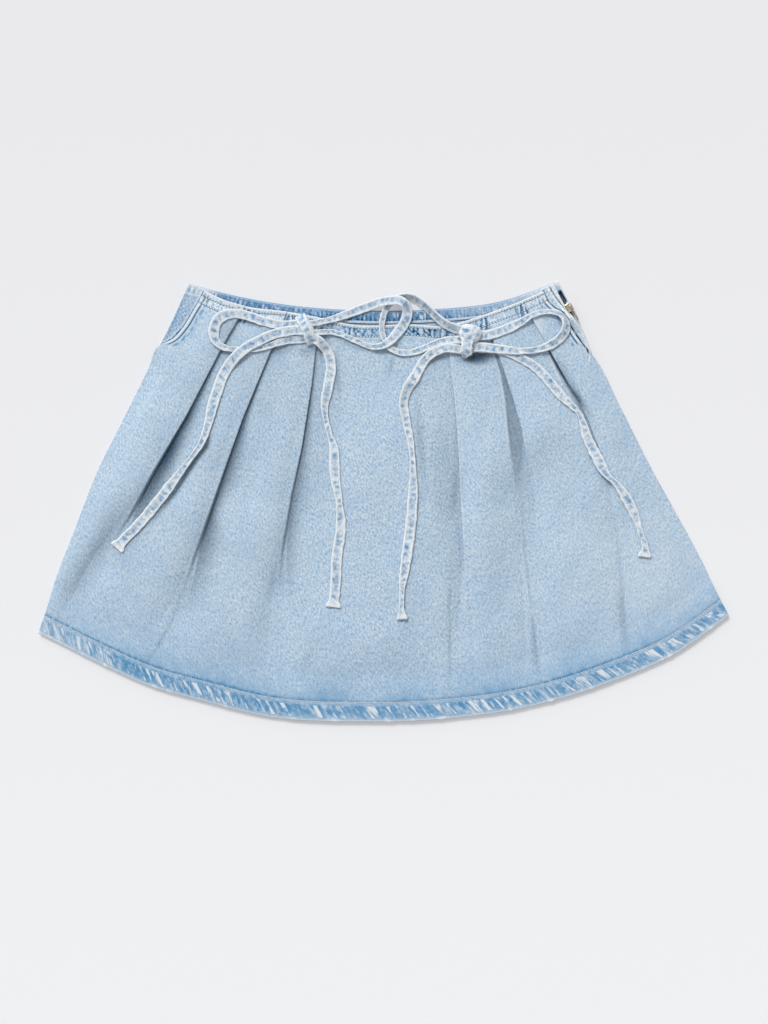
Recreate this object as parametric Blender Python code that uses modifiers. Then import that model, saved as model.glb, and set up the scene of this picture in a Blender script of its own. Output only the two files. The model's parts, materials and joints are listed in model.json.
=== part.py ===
"""A denim mini skirt laid flat with its front up: a plain back, a front with six knife pleats and
slanted pocket edges, a zip in the right side seam and two tied bows at the waist.

X runs to the right, Y towards the waist and Z up from the surface that the skirt lies on.
The tables are in millimetres; the scene is in metres."""

import math

import bmesh
import bpy
import numpy as np
from mathutils import Matrix, Vector

MM = 0.001

# Cloth
CLOTH = 1.0
SEAM = 0.3
LAYER = CLOTH + SEAM
HEM_DEPTH = 17.0
FACING_DEPTH = 10.5
EDGE_INSET = 1.2

# Height of the front panel's underside: three layers lie under it at the waist and at the hem
WAIST_BASE = 3 * LAYER
BODY_BASE = LAYER
HEM_BASE = 3 * LAYER
WAIST_BASE_ENDS = 0.34
BODY_BASE_STARTS = 0.5
BODY_BASE_ENDS = 0.88
HEM_BASE_STARTS = 0.945

# Pleats
PRESSED_RADIUS = 0.75
OPEN_UNDERLAP = 1.5
FADED_HALF_WIDTH = 5.0
ARC_STEPS = 4
RUN_IN = 3.0
RUN_OUT = 3.0

# Ties
STRAP_WIDTH = 9.5
STRAP_THICKNESS = 1.8
STRAP_STEP = 7.0

# Zip
CHAIN_INSET = 3.8
CHAIN_THICKNESS = 1.2
SLIDER_LENGTH = 9.0
SLIDER_DEPTH = 4.2
SLIDER_WIDTH = 6.2
SLIDER_TOP_Y = 194.0
SLIDER_LOW_Z = 1.3
CHANNEL_DEPTH = CHAIN_THICKNESS + 2 * SEAM
CHANNEL_WIDTH = 4.8
BRIDGE_LENGTH = 6.9
BRIDGE_HEIGHT = 2.85
BRIDGE_WIRE = 0.9
TAB_LENGTH = 15.0
TAB_WIDTH = 4.4
TAB_THICKNESS = 0.9
TAB_HOLE_LENGTH = 4.15
TAB_HOLE_WIDTH = 2.2
TAB_STAND_OFF = 1.1

# The chain: (y, lowest z, highest z). It stands in the side fold, and lies lower under the front
CHAIN = [
    (207.0, 1.5, 2.7), (200.0, 2.2, 6.4), (188.0, 2.2, 6.4), (178.0, 2.2, 6.0), (168.0, 1.8, 3.4),
    (146.0, 1.6, 3.4), (126.0, 1.6, 3.4), (108.0, 1.6, 3.4),
]

# Outline of the laid skirt: (x, y)
LEFT_SIDE = [
    (-195.0, 217.0), (-206.5, 191.0), (-216.0, 170.5), (-224.6, 154.3), (-234.0, 134.0),
    (-260.0, 81.0), (-285.0, 31.0), (-307.0, -25.0), (-328.0, -80.0), (-338.0, -114.0),
    (-344.1, -131.0),
]
RIGHT_SIDE = [
    (174.5, 219.75), (183.0, 201.5), (189.5, 190.5), (199.5, 169.5), (209.2, 144.0),
    (236.4, 93.0), (268.4, 30.0), (298.8, -25.0), (317.5, -60.0), (334.5, -96.0),
    (344.1, -114.0),
]
HEM = [
    (-344.1, -131.0), (-285.0, -160.5), (-233.0, -184.0), (-181.5, -198.5), (-112.5, -215.0),
    (-28.5, -219.65), (76.5, -215.3), (142.0, -205.3), (226.5, -180.0), (290.5, -152.0),
    (344.1, -114.0),
]
BACK_WAIST = [
    (-195.0, 217.0), (-158.5, 207.0), (-83.5, 194.0), (-30.0, 190.3), (52.0, 191.3),
    (116.5, 199.0), (161.5, 214.5), (174.5, 219.75),
]
FRONT_WAIST = [
    (-178.6, 209.3), (-158.6, 200.0), (-138.0, 194.0), (-93.6, 188.0), (-58.6, 181.3),
    (-30.0, 175.4), (26.4, 176.0), (64.4, 174.5), (91.4, 182.3), (135.4, 198.4),
    (159.4, 208.8),
]
LEFT_POCKET = [
    (-178.6, 209.3), (-184.1, 198.8), (-189.5, 190.0), (-199.0, 174.0), (-211.0, 161.0),
    (-224.6, 154.3),
]
RIGHT_POCKET = [
    (159.4, 208.8), (163.5, 199.0), (170.0, 192.5), (181.0, 186.5), (184.6, 177.0),
    (198.4, 155.8), (209.2, 144.0),
]
POCKET_ENDS = 3

# Hip pieces, which show beside the pocket edges: corners (x, y) of what isn't shared with a side
HIP_LEFT_INNER = [(-224.0, 142.0), (-201.0, 148.0), (-180.0, 168.0), (-167.0, 199.0), (-178.5, 210.0)]
HIP_RIGHT = [
    (164.4, 214.6), (172.0, 202.0), (178.8, 194.0), (186.5, 182.0), (192.5, 170.0),
    (198.5, 157.0), (203.5, 145.0), (208.5, 133.0), (190.0, 140.0), (171.0, 168.0),
    (152.0, 196.0), (158.0, 211.5),
]

# Pleats, from left to right. side is +1 where the fold edge faces right, underlap the cloth folded under
# it at the waist, gone the height y at which it has faded away, swell the radius it opens to, and edge
# its fold line (x, y)
PLEATS = [
    {"side": 1, "underlap": 13.0, "gone": -66.0, "swell": 3.0,
     "edge": [(-139, 193), (-160, 156), (-198, 83), (-229, 31), (-256, -19), (-284, -59), (-322, -130)]},
    {"side": 1, "underlap": 13.0, "gone": -205.0, "swell": 3.2,
     "edge": [(-97, 188), (-113, 149), (-140, 84), (-159, 31), (-185, -43), (-202, -95), (-243, -188)]},
    {"side": 1, "underlap": 13.0, "gone": -80.0, "swell": 2.8,
     "edge": [(-62, 182), (-67, 160), (-72, 116), (-82, 52), (-92, 7), (-101, -45), (-114, -216)]},
    {"side": -1, "underlap": 12.0, "gone": -150.0, "swell": 1.6,
     "edge": [(66, 175), (66, 147), (72, 94), (75, 49), (77, 7), (81, -60), (84, -214)]},
    {"side": -1, "underlap": 12.0, "gone": -20.0, "swell": 2.6,
     "edge": [(104, 187), (111, 154), (119, 124), (129, 93), (135, 65), (139, 26), (146, -89), (155, -202)]},
    {"side": -1, "underlap": 8.0, "gone": -40.0, "swell": 2.0,
     "edge": [(140, 200), (150, 179), (168, 147), (184, 118), (204, 81), (227, 21), (233, -4), (258, -170)]},
]

# Rows of the front panel, as shares of the way from waist to hem, and the cloth between two pleats
PANEL_ROWS = [
    0, 0.03, 0.07, 0.115, 0.165, 0.22, 0.28, 0.345, 0.41, 0.48, 0.55, 0.62, 0.69, 0.76, 0.83, 0.89,
    0.945, 1,
]
BETWEEN_STEPS = 3

# Routes of the ties, from the lowest to the one that lies on top: (x, y, tilt in degrees)
TIES = {
    "bow_left_loop_outer": [
        (-77.0, 176.0, 0), (-88.0, 175.6, 0), (-105.3, 175.3, 0), (-118.6, 178.6, 0), (-133.6, 183.6, 0),
        (-144.6, 186.4, 0), (-155.3, 185.6, 0), (-164.0, 181.0, 5), (-168.6, 172.5, 10), (-168.6, 162.5, 10),
        (-164.2, 155.4, 5), (-155.3, 151.6, 0), (-145.3, 151.0, 0), (-125.3, 151.2, 0), (-115.3, 153.8, 0),
        (-105.3, 157.2, 0), (-96.6, 159.8, 0), (-86.6, 160.6, 0), (-76.0, 161.5, 0),
    ],
    "bow_right_tail_outer": [
        (86.0, 152.0, 0), (97.0, 152.0, 0), (108.0, 151.6, 0), (121.4, 148.8, 0), (136.4, 142.3, 0),
        (154.0, 130.8, 0), (165.4, 118.3, 0), (176.9, 104.8, 0), (194.4, 87.3, 0), (203.9, 60.8, 0),
        (212.4, 43.8, 0), (222.4, 25.8, 0), (233.4, 14.8, 0), (243.4, -0.3, 0), (251.9, -17.8, 0),
        (257.0, -34.3, 0), (261.1, -47.3, 0), (260.1, -56.3, 0),
    ],
    "bow_right_loop_inner": [
        (82.0, 169.0, 20), (72.5, 171.0, 30), (63.0, 175.0, 40), (54.5, 181.5, 45), (46.0, 189.5, 50),
        (38.0, 197.0, 50), (28.0, 202.6, 50), (16.4, 202.6, 45), (7.4, 197.8, 35), (1.4, 189.0, 25),
        (-1.6, 177.8, 15), (-1.4, 167.4, 10), (2.0, 158.8, 10), (7.4, 151.6, 10), (16.4, 148.0, 10),
        (27.0, 147.6, 0), (39.3, 151.2, 0), (52.8, 157.2, 0), (63.5, 159.6, 0), (72.0, 160.0, 0),
        (82.0, 160.0, 0),
    ],
    "bow_left_loop_inner": [
        (-77.0, 175.8, 0), (-65.6, 177.6, 0), (-53.6, 180.2, 0), (-39.3, 185.0, 0), (-25.0, 190.4, 0),
        (-14.0, 194.4, 0), (-3.6, 197.6, 0), (8.0, 199.6, 10), (16.5, 199.2, 15), (21.6, 195.4, 15),
        (23.7, 188.5, 15), (22.5, 180.8, 10), (18.5, 173.6, 5), (12.8, 166.4, 0), (7.0, 159.6, 0),
        (-1.0, 154.6, 0), (-10.7, 153.4, 0), (-25.0, 158.4, 0), (-39.3, 164.6, 0), (-50.0, 168.0, 0),
        (-61.0, 168.0, 0), (-74.0, 166.0, 0),
    ],
    "bow_left_tail_outer": [
        (-76.0, 169.8, 0), (-88.0, 169.6, 0), (-105.6, 166.8, 0), (-122.6, 159.8, 0), (-138.6, 150.8, 0),
        (-152.0, 138.0, 0), (-161.6, 121.0, 0), (-168.6, 100.8, 0), (-181.1, 57.8, 0),
        (-200.6, 30.8, 0), (-212.6, 14.8, 0), (-228.6, -5.3, 0), (-244.6, -24.3, 0),
        (-258.6, -38.3, 0), (-266.6, -47.3, 0),
    ],
    "bow_left_tail_inner": [
        (-72.0, 163.0, 0), (-62.0, 156.5, 0), (-55.5, 148.0, 0), (-52.6, 134.8, 0), (-55.0, 115.8, 0),
        (-58.9, 92.8, 15), (-54.8, 69.8, 0), (-49.6, 51.8, 0), (-48.6, 25.8, 0), (-43.6, -6.3, 0),
        (-42.6, -26.3, 0), (-46.1, -52.3, 0), (-48.9, -94.3, 0), (-50.3, -106.3, 0),
    ],
    "bow_right_tail_inner": [
        (82.0, 150.0, 0), (70.5, 151.4, 0), (63.4, 152.0, 0), (54.4, 149.8, 0), (42.4, 141.8, 0),
        (31.4, 123.8, 0), (23.4, 110.8, 20), (19.9, 98.8, 20), (22.4, 80.8, 0), (27.4, 54.8, 0),
        (29.4, 20.8, 0), (28.4, -7.3, 0), (26.9, -24.3, 0), (22.4, -59.3, 0), (18.4, -87.3, 0),
        (17.8, -104.3, 0), (18.4, -118.3, 0),
    ],
    "bow_right_loop_outer": [
        (83.0, 166.5, 0), (94.5, 164.6, 0), (106.4, 165.6, 0), (117.0, 169.0, 0), (127.4, 173.2, 0),
        (137.4, 178.4, 0), (146.4, 183.8, 5), (157.4, 187.6, 10), (168.4, 188.0, 20), (176.9, 184.6, 30),
        (181.4, 177.6, 35), (180.9, 169.6, 30), (176.4, 162.6, 20), (168.9, 156.6, 10), (159.4, 152.2, 0),
        (149.4, 150.0, 0), (137.4, 148.8, 0), (124.4, 149.8, 0), (111.4, 151.4, 0), (98.4, 152.8, 0),
        (83.0, 153.4, 0),
    ],
}

# Knots: centre (x, y), width, length and height, and the heading of the long side from +Y in degrees
KNOT_ROUNDING = 3.2
KNOT_DEPTH = 6.0
KNOT_INSIDE = 2.5
KNOTS = {
    "bow_left": {"centre": (-76.5, 170.0), "size": (12.0, 31.0, 8.5), "heading": 25.0},
    "bow_right": {"centre": (83.4, 159.5), "size": (15.0, 33.0, 8.5), "heading": 3.0},
}

# Colour, roughness and metallic value of each material
MATERIALS = {
    "denim": ((0.44, 0.57, 0.70, 1), 0.9, 0.0),
    "denim_inside": ((0.36, 0.48, 0.62, 1), 0.92, 0.0),
    "denim_hip": ((0.41, 0.54, 0.68, 1), 0.9, 0.0),
    "denim_tie": ((0.60, 0.68, 0.76, 1), 0.9, 0.0),
    "zip_tape": ((0.18, 0.22, 0.30, 1), 0.85, 0.0),
    "brass": ((0.62, 0.52, 0.34, 1), 0.35, 1.0),
}


def clear_scene():
    for obj in list(bpy.data.objects):
        bpy.data.objects.remove(obj)


def make_collection(name):
    collection = bpy.data.collections.new(name)
    bpy.context.scene.collection.children.link(collection)
    return collection


def make_material(name):
    colour, roughness, metallic = MATERIALS[name]
    material = bpy.data.materials.new(name)
    material.use_nodes = True
    shader = material.node_tree.nodes["Principled BSDF"]
    shader.inputs["Base Color"].default_value = colour
    shader.inputs["Roughness"].default_value = roughness
    shader.inputs["Metallic"].default_value = metallic
    return material


def smoothstep(value, low, high):
    share = np.clip((value - low) / (high - low), 0, 1)
    return share * share * (3 - 2 * share)


def along(points, share):
    """Points at these shares of the length of a smooth curve through points."""
    points = np.asarray(points, float)
    knots = np.concatenate([[0], np.cumsum(np.linalg.norm(np.diff(points[:, :2], axis=0), axis=1))])
    knots /= knots[-1]
    slopes = np.gradient(points, knots, axis=0)
    share = np.clip(np.atleast_1d(share), 0, 1)
    i = np.clip(np.searchsorted(knots, share, side="right") - 1, 0, len(points) - 2)
    span = (knots[i + 1] - knots[i])[:, None]
    t = (share - knots[i])[:, None] / span
    return (
        (2 * t**3 - 3 * t**2 + 1) * points[i]
        + (t**3 - 2 * t**2 + t) * span * slopes[i]
        + (3 * t**2 - 2 * t**3) * points[i + 1]
        + (t**3 - t**2) * span * slopes[i + 1]
    )


def front_side(pocket, side):
    """A front edge: the slanted pocket edge, then the side below it."""
    return pocket + side[POCKET_ENDS + 1 :]


LEFT_FRONT = front_side(LEFT_POCKET, LEFT_SIDE)
RIGHT_FRONT = front_side(RIGHT_POCKET, RIGHT_SIDE[1:])


def patch(top, left, right, u, v):
    """The point at share u across and v down, between a waist edge, the hem and two sides."""
    u = np.asarray(u, float)[:, None]
    v = np.asarray(v, float)[:, None]
    across = (1 - v) * along(top, u[:, 0]) + v * along(HEM, u[:, 0])
    down = (1 - u) * along(left, v[:, 0]) + u * along(right, v[:, 0])
    corners = (1 - v) * ((1 - u) * np.array(top[0]) + u * np.array(top[-1]))
    corners = corners + v * ((1 - u) * np.array(HEM[0]) + u * np.array(HEM[-1]))
    return across + down - corners


def front_point(u, v):
    return patch(FRONT_WAIST, LEFT_FRONT, RIGHT_FRONT, u, v)


def back_point(u, v):
    return patch(BACK_WAIST, LEFT_SIDE, RIGHT_SIDE, u, v)


def fold_share(pleat, v):
    """The share across the row v at which the row meets the pleat's fold line."""
    u = np.linspace(0, 1, 401)
    row = front_point(u, np.full_like(u, v))
    edge = np.array(sorted(pleat["edge"], key=lambda point: point[1]), float)
    beside = row[:, 0] - np.interp(row[:, 1], edge[:, 1], edge[:, 0])
    first = int(np.argmax(beside > 0))
    return u[first - 1] + (u[first] - u[first - 1]) * beside[first - 1] / (beside[first - 1] - beside[first])


def panel_base(v):
    """Height of the front panel's underside in its lowest places."""
    falls = (WAIST_BASE - BODY_BASE) * smoothstep(v, WAIST_BASE_ENDS, BODY_BASE_STARTS)
    rises = (HEM_BASE - BODY_BASE) * smoothstep(v, BODY_BASE_ENDS, HEM_BASE_STARTS)
    return WAIST_BASE - falls + rises


def pleat_section(pleat, opened, arc_steps=ARC_STEPS):
    """(offset towards the centre, height) along one pleat's fold, from its upper to its lower side.

    The cloth turns down by an angle, runs straight and turns back. Pressed flat at the waist it turns
    by 180 degrees; the angle shrinks to nothing where the pleat has faded."""
    turn = math.pi * (1 - opened) ** 1.25
    radius = PRESSED_RADIUS + (pleat["swell"] - PRESSED_RADIUS) * float(smoothstep(opened, 0, 0.5))
    straight = OPEN_UNDERLAP + (pleat["underlap"] - OPEN_UNDERLAP) * max(0.0, 1 - opened / 0.4)
    arc = np.linspace(0, turn, arc_steps + 1)
    upper = np.stack([radius * np.sin(arc), -radius * (1 - np.cos(arc))], axis=1)
    corner = upper[-1] + straight * np.array([math.cos(turn), -math.sin(turn)])
    end = corner + upper[-1]
    lower = end - upper[::-1]
    section = np.concatenate([upper, lower])
    section -= [upper[:, 0].max(), end[1]]
    faded = FADED_HALF_WIDTH * float(smoothstep(opened, 0.35, 0.8))
    section[:, 0] += faded * np.linspace(-1, 1, len(section))
    top = [section[:, 0].min() - RUN_IN, section[0, 1]]
    bottom = [section[:, 0].max() + RUN_OUT, section[-1, 1]]
    return np.concatenate([[top], section, [bottom]])


def panel_row(v, between_steps=BETWEEN_STEPS):
    """(x, y, z) of the front panel's middle surface along one row, from left to right."""
    span = front_point(np.linspace(0, 1, 41), np.full(41, v))
    length = np.linalg.norm(np.diff(span, axis=0), axis=1).sum()
    stations = [np.array([[0.0, 0.0]])]
    for pleat in PLEATS:
        share = fold_share(pleat, v)
        y = front_point([share], [v])[0, 1]
        top_y = pleat["edge"][0][1]
        opened = min(1.0, max(0.0, (top_y - y) / (top_y - pleat["gone"])))
        section = pleat_section(pleat, opened)
        section[:, 0] = share + pleat["side"] * section[:, 0] / length
        stations.append(section if pleat["side"] > 0 else section[::-1])
    stations.append(np.array([[1.0, 0.0]]))
    row = [stations[0]]
    for before, after in zip(stations, stations[1:]):
        t = np.linspace(0, 1, between_steps + 2)[1:-1, None]
        ease = t * t * (3 - 2 * t)
        first, last = before[-1], after[0]
        row.append(np.hstack([first[0] + (last[0] - first[0]) * t, first[1] + (last[1] - first[1]) * ease]))
        row.append(after)
    row = np.concatenate(row)
    flat = front_point(row[:, 0], np.full(len(row), v))
    return np.column_stack([flat, panel_base(v) + CLOTH / 2 + row[:, 1]])


def add_object(name, data, material, collection, location=(0, 0, 0)):
    obj = bpy.data.objects.new(name, data)
    obj.location = Vector(location) * MM
    data.materials.append(material)
    collection.objects.link(obj)
    return obj


def sheet_mesh(name, rows):
    """An open grid surface through rows of points, in millimetres."""
    mesh = bpy.data.meshes.new(name)
    count = len(rows[0])
    points = [Vector(point) * MM for row in rows for point in row]
    faces = [
        (i * count + j, (i + 1) * count + j, (i + 1) * count + j + 1, i * count + j + 1)
        for i in range(len(rows) - 1)
        for j in range(count - 1)
    ]
    mesh.from_pydata(points, [], faces)
    mesh.shade_smooth()
    return mesh


def solidify(obj, thickness):
    modifier = obj.modifiers.new("cloth", "SOLIDIFY")
    modifier.thickness = thickness * MM
    modifier.offset = 0
    return modifier


def plate(name, outline, low, material, collection, thickness=CLOTH):
    """A flat piece of cloth with this outline, from the height low upwards."""
    curve = bpy.data.curves.new(name, "CURVE")
    curve.dimensions = "2D"
    curve.fill_mode = "BOTH"
    curve.extrude = thickness / 2 * MM
    spline = curve.splines.new("POLY")
    spline.points.add(len(outline) - 1)
    for point, (x, y) in zip(spline.points, outline):
        point.co = (x * MM, y * MM, 0, 1)
    spline.use_cyclic_u = True
    return add_object(name, curve, material, collection, (0, 0, low + thickness / 2))


def strip(point, start, end, count=40, inset=0.004):
    """Outline of the cloth between two rows of a patch."""
    u = np.linspace(inset, 1 - inset, count)
    upper = point(u, np.full(count, start))
    lower = point(u, np.full(count, end))
    return np.concatenate([upper, lower[::-1]])


def back_outline():
    edges = [
        along(BACK_WAIST, np.linspace(0, 1, 24)),
        along(RIGHT_SIDE, np.linspace(0, 1, 20))[1:],
        along(HEM, np.linspace(1, 0, 40))[1:],
        along(LEFT_SIDE, np.linspace(1, 0, 20))[1:-1],
    ]
    return np.concatenate(edges)


def hip_left_outline():
    side = along(LEFT_SIDE, np.linspace(0.0, 0.19, 8)) + [0.6, -0.2]
    return np.concatenate([side, HIP_LEFT_INNER])


def side_x(y):
    """The right side's x at this height."""
    side = along(RIGHT_SIDE, np.linspace(0, 1, 200))
    return float(np.interp(y, side[::-1, 1], side[::-1, 0]))


def chain_frame(y):
    """Middle of the chain at this height, the way it runs down, and the way out of the skirt."""
    run = Vector((side_x(y - 6) - side_x(y + 6), -12.0, 0)).normalized()
    out = Vector((-run.y, run.x, 0))
    return Vector((side_x(y), y, 0)) - CHAIN_INSET * out, run, out


def zip_chain(materials, collection):
    rows = []
    for y, low, high in CHAIN:
        middle = chain_frame(y)[0]
        rows.append([middle + Vector((0, 0, low)), middle + Vector((0, 0, high))])
    obj = add_object("zip_chain", sheet_mesh("zip_chain", rows), materials["zip_tape"], collection)
    solidify(obj, CHAIN_THICKNESS)


def box_mesh(name, low, high):
    """A box between two corners, in millimetres."""
    mesh = bpy.data.meshes.new(name)
    shape = bmesh.new()
    bmesh.ops.create_cube(shape, size=1.0)
    low, high = Vector(low), Vector(high)
    size = Matrix.Diagonal((high - low) * MM).to_4x4()
    bmesh.ops.transform(shape, matrix=Matrix.Translation((low + high) / 2 * MM) @ size, verts=shape.verts)
    shape.to_mesh(mesh)
    shape.free()
    return mesh


def slider_place():
    """World matrix of the slider: X along the zip, Y out of the skirt, Z up."""
    middle, run, out = chain_frame(SLIDER_TOP_Y)
    middle.z = SLIDER_LOW_Z + SLIDER_WIDTH / 2
    turn = Matrix((run, out, Vector((0, 0, 1)))).transposed().to_4x4()
    return Matrix.Translation(middle * MM) @ turn


def add_boolean(obj, other, operation):
    modifier = obj.modifiers.new(other.name, "BOOLEAN")
    modifier.object = other
    modifier.operation = operation


def helper(name, low, high, place, cutters):
    obj = bpy.data.objects.new(name, box_mesh(name, low, high))
    obj.matrix_world = place
    obj.hide_render = True
    obj.display_type = "WIRE"
    cutters.objects.link(obj)
    return obj


def zip_slider(materials, collection, cutters):
    place = slider_place()
    half = SLIDER_DEPTH / 2
    slider = add_object(
        "zip_slider",
        box_mesh(
            "zip_slider",
            (-SLIDER_LENGTH / 2, -half, -SLIDER_WIDTH / 2),
            (SLIDER_LENGTH / 2, half, SLIDER_WIDTH / 2),
        ),
        materials["brass"],
        collection,
    )
    slider.matrix_world = place
    bevel = slider.modifiers.new("rounded", "BEVEL")
    bevel.width = 0.6 * MM
    bevel.segments = 2
    reach = BRIDGE_LENGTH / 2
    wire = BRIDGE_WIRE / 2
    bridge = helper("bridge", (-reach, half - 0.5, -wire), (reach, half + BRIDGE_HEIGHT, wire), place, cutters)
    add_boolean(slider, bridge, "UNION")
    window_top = half + BRIDGE_HEIGHT - BRIDGE_WIRE
    window_end = reach - BRIDGE_WIRE
    window = helper("bridge_window", (-window_end, half, -1), (window_end, window_top, 1), place, cutters)
    add_boolean(slider, window, "DIFFERENCE")
    channel = helper(
        "chain_channel",
        (-SLIDER_LENGTH, -CHANNEL_DEPTH / 2, -CHANNEL_WIDTH / 2),
        (SLIDER_LENGTH, CHANNEL_DEPTH / 2, CHANNEL_WIDTH / 2),
        place,
        cutters,
    )
    add_boolean(slider, channel, "DIFFERENCE")


def tab_place():
    return slider_place() @ Matrix.Translation((0, (SLIDER_DEPTH / 2 + TAB_STAND_OFF) * MM, 0))


def zip_pull_tab(materials, collection, cutters):
    """The pull tab, with its origin on the axis that it turns about."""
    place = tab_place()
    half = TAB_THICKNESS / 2
    low = (-half, -half, -TAB_WIDTH / 2)
    high = (TAB_LENGTH, half, TAB_WIDTH / 2)
    tab = add_object("zip_pull_tab", box_mesh("zip_pull_tab", low, high), materials["brass"], collection)
    tab.matrix_world = place
    hole_half = TAB_HOLE_WIDTH / 2
    hole = helper("tab_hole", (half, -2, -hole_half), (half + TAB_HOLE_LENGTH, 2, hole_half), place, cutters)
    add_boolean(tab, hole, "DIFFERENCE")


def rest_height(panel_points, ties, x, y, reach):
    """Top of what lies under a place, within this reach of it: the front panel and the lower ties."""
    apart = np.hypot(panel_points[:, 0] - x, panel_points[:, 1] - y)
    near = apart < reach
    if not near.any():
        near = apart <= apart.min() + 3.0
    height = panel_points[near, 2].max() + CLOTH / 2
    for tie in ties:
        near = np.hypot(tie[:, 0] - x, tie[:, 1] - y) < reach + STRAP_WIDTH / 2
        if near.any():
            height = max(height, (tie[near, 2] + strap_rise(tie[near, 3])).max())
    return height


def strap_rise(tilt):
    """Height of a tie's middle over what it lies on."""
    return np.abs(np.sin(tilt)) * STRAP_WIDTH / 2 + np.cos(tilt) * STRAP_THICKNESS / 2


def strap_points(route, panel_points, ties):
    """(x, y, z, tilt) along a tie that lies on the front and on the ties below it."""
    route = np.array(route, float)
    length = np.linalg.norm(np.diff(route[:, :2], axis=0), axis=1).sum()
    count = int(length / STRAP_STEP) + 1
    path = along(route, np.linspace(0, 1, count))
    tilt = np.radians(path[:, 2])
    reach = STRAP_WIDTH * 0.7
    base = np.array([rest_height(panel_points, ties, x, y, reach) for x, y in path[:, :2]])
    padded = np.pad(base + strap_rise(tilt) + SEAM, 3, mode="edge")
    highest = np.array([padded[i + 2 : i + 5].max() for i in range(count)])
    padded = np.pad(highest, 1, mode="edge")
    z = np.array([padded[i : i + 3].mean() for i in range(count)])
    return np.column_stack([path[:, :2], z, tilt])


def strap_mesh(name, points):
    """A flat rounded band through the points, turned by their tilt: rings of six corners and two caps."""
    half = STRAP_WIDTH / 2
    flat = half - STRAP_THICKNESS / 3
    thick = STRAP_THICKNESS / 2
    corners = [(half, 0), (flat, thick), (-flat, thick), (-half, 0), (-flat, -thick), (flat, -thick)]
    runs = np.gradient(points[:, :3], axis=0)
    shape = bmesh.new()
    rings = []
    for (x, y, z, tilt), run in zip(points, runs):
        run = Vector(run).normalized()
        level = Vector((run.y, -run.x, 0)).normalized()
        above = level.cross(run)
        across = math.cos(tilt) * level + math.sin(tilt) * above
        up = math.cos(tilt) * above - math.sin(tilt) * level
        ring = [(Vector((x, y, z)) + a * across + b * up) * MM for a, b in corners]
        rings.append([shape.verts.new(corner) for corner in ring])
    for ring, after in zip(rings, rings[1:]):
        for i, corner in enumerate(ring):
            j = (i + 1) % len(ring)
            shape.faces.new((corner, ring[j], after[j], after[i]))
    shape.faces.new(rings[0][::-1])
    shape.faces.new(rings[-1])
    bmesh.ops.recalc_face_normals(shape, faces=shape.faces)
    mesh = bpy.data.meshes.new(name)
    shape.to_mesh(mesh)
    shape.free()
    mesh.shade_smooth()
    return mesh


def under_knot(spec, points, margin=0.0):
    """Which of the points lie within the knot's width and length, widened by a margin."""
    width, length, _ = spec["size"]
    angle = math.radians(spec["heading"])
    across = np.array([math.cos(angle), math.sin(angle)])
    down = np.array([-math.sin(angle), math.cos(angle)])
    apart = points[:, :2] - np.array(spec["centre"])
    return (np.abs(apart @ across) < width / 2 + margin) & (np.abs(apart @ down) < length / 2 + margin)


def knot_place(spec, panel_points):
    """World matrix of a knot: on the highest cloth under it, turned to its heading."""
    low = panel_points[under_knot(spec, panel_points), 2].max() + CLOTH / 2 + SEAM
    turn = Matrix.Rotation(math.radians(spec["heading"]), 4, "Z")
    return Matrix.Translation(Vector((*spec["centre"], low + spec["size"][2] / 2)) * MM) @ turn


def knot_mesh(name, spec, grow, deeper=0.0):
    half = Vector(spec["size"]) / 2 + Vector((grow, grow, grow))
    return box_mesh(name, -half - Vector((0, 0, deeper)), half)


def round_knot(obj, grow):
    bevel = obj.modifiers.new("rounded", "BEVEL")
    bevel.width = (KNOT_ROUNDING + grow) * MM
    bevel.segments = 3


def add_knot(name, spec, panel_points, materials, collection, cutters):
    """A knot, and the slightly larger shape that its ties are cut back to."""
    place = knot_place(spec, panel_points)
    obj = add_object(name + "_knot", knot_mesh(name, spec, 0), materials["denim_tie"], collection)
    obj.matrix_world = place
    round_knot(obj, 0)
    space = bpy.data.objects.new(name + "_knot_space", knot_mesh(name + "_space", spec, SEAM, KNOT_DEPTH))
    space.matrix_world = place
    space.hide_render = True
    space.display_type = "WIRE"
    cutters.objects.link(space)
    round_knot(space, SEAM)
    return space


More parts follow.
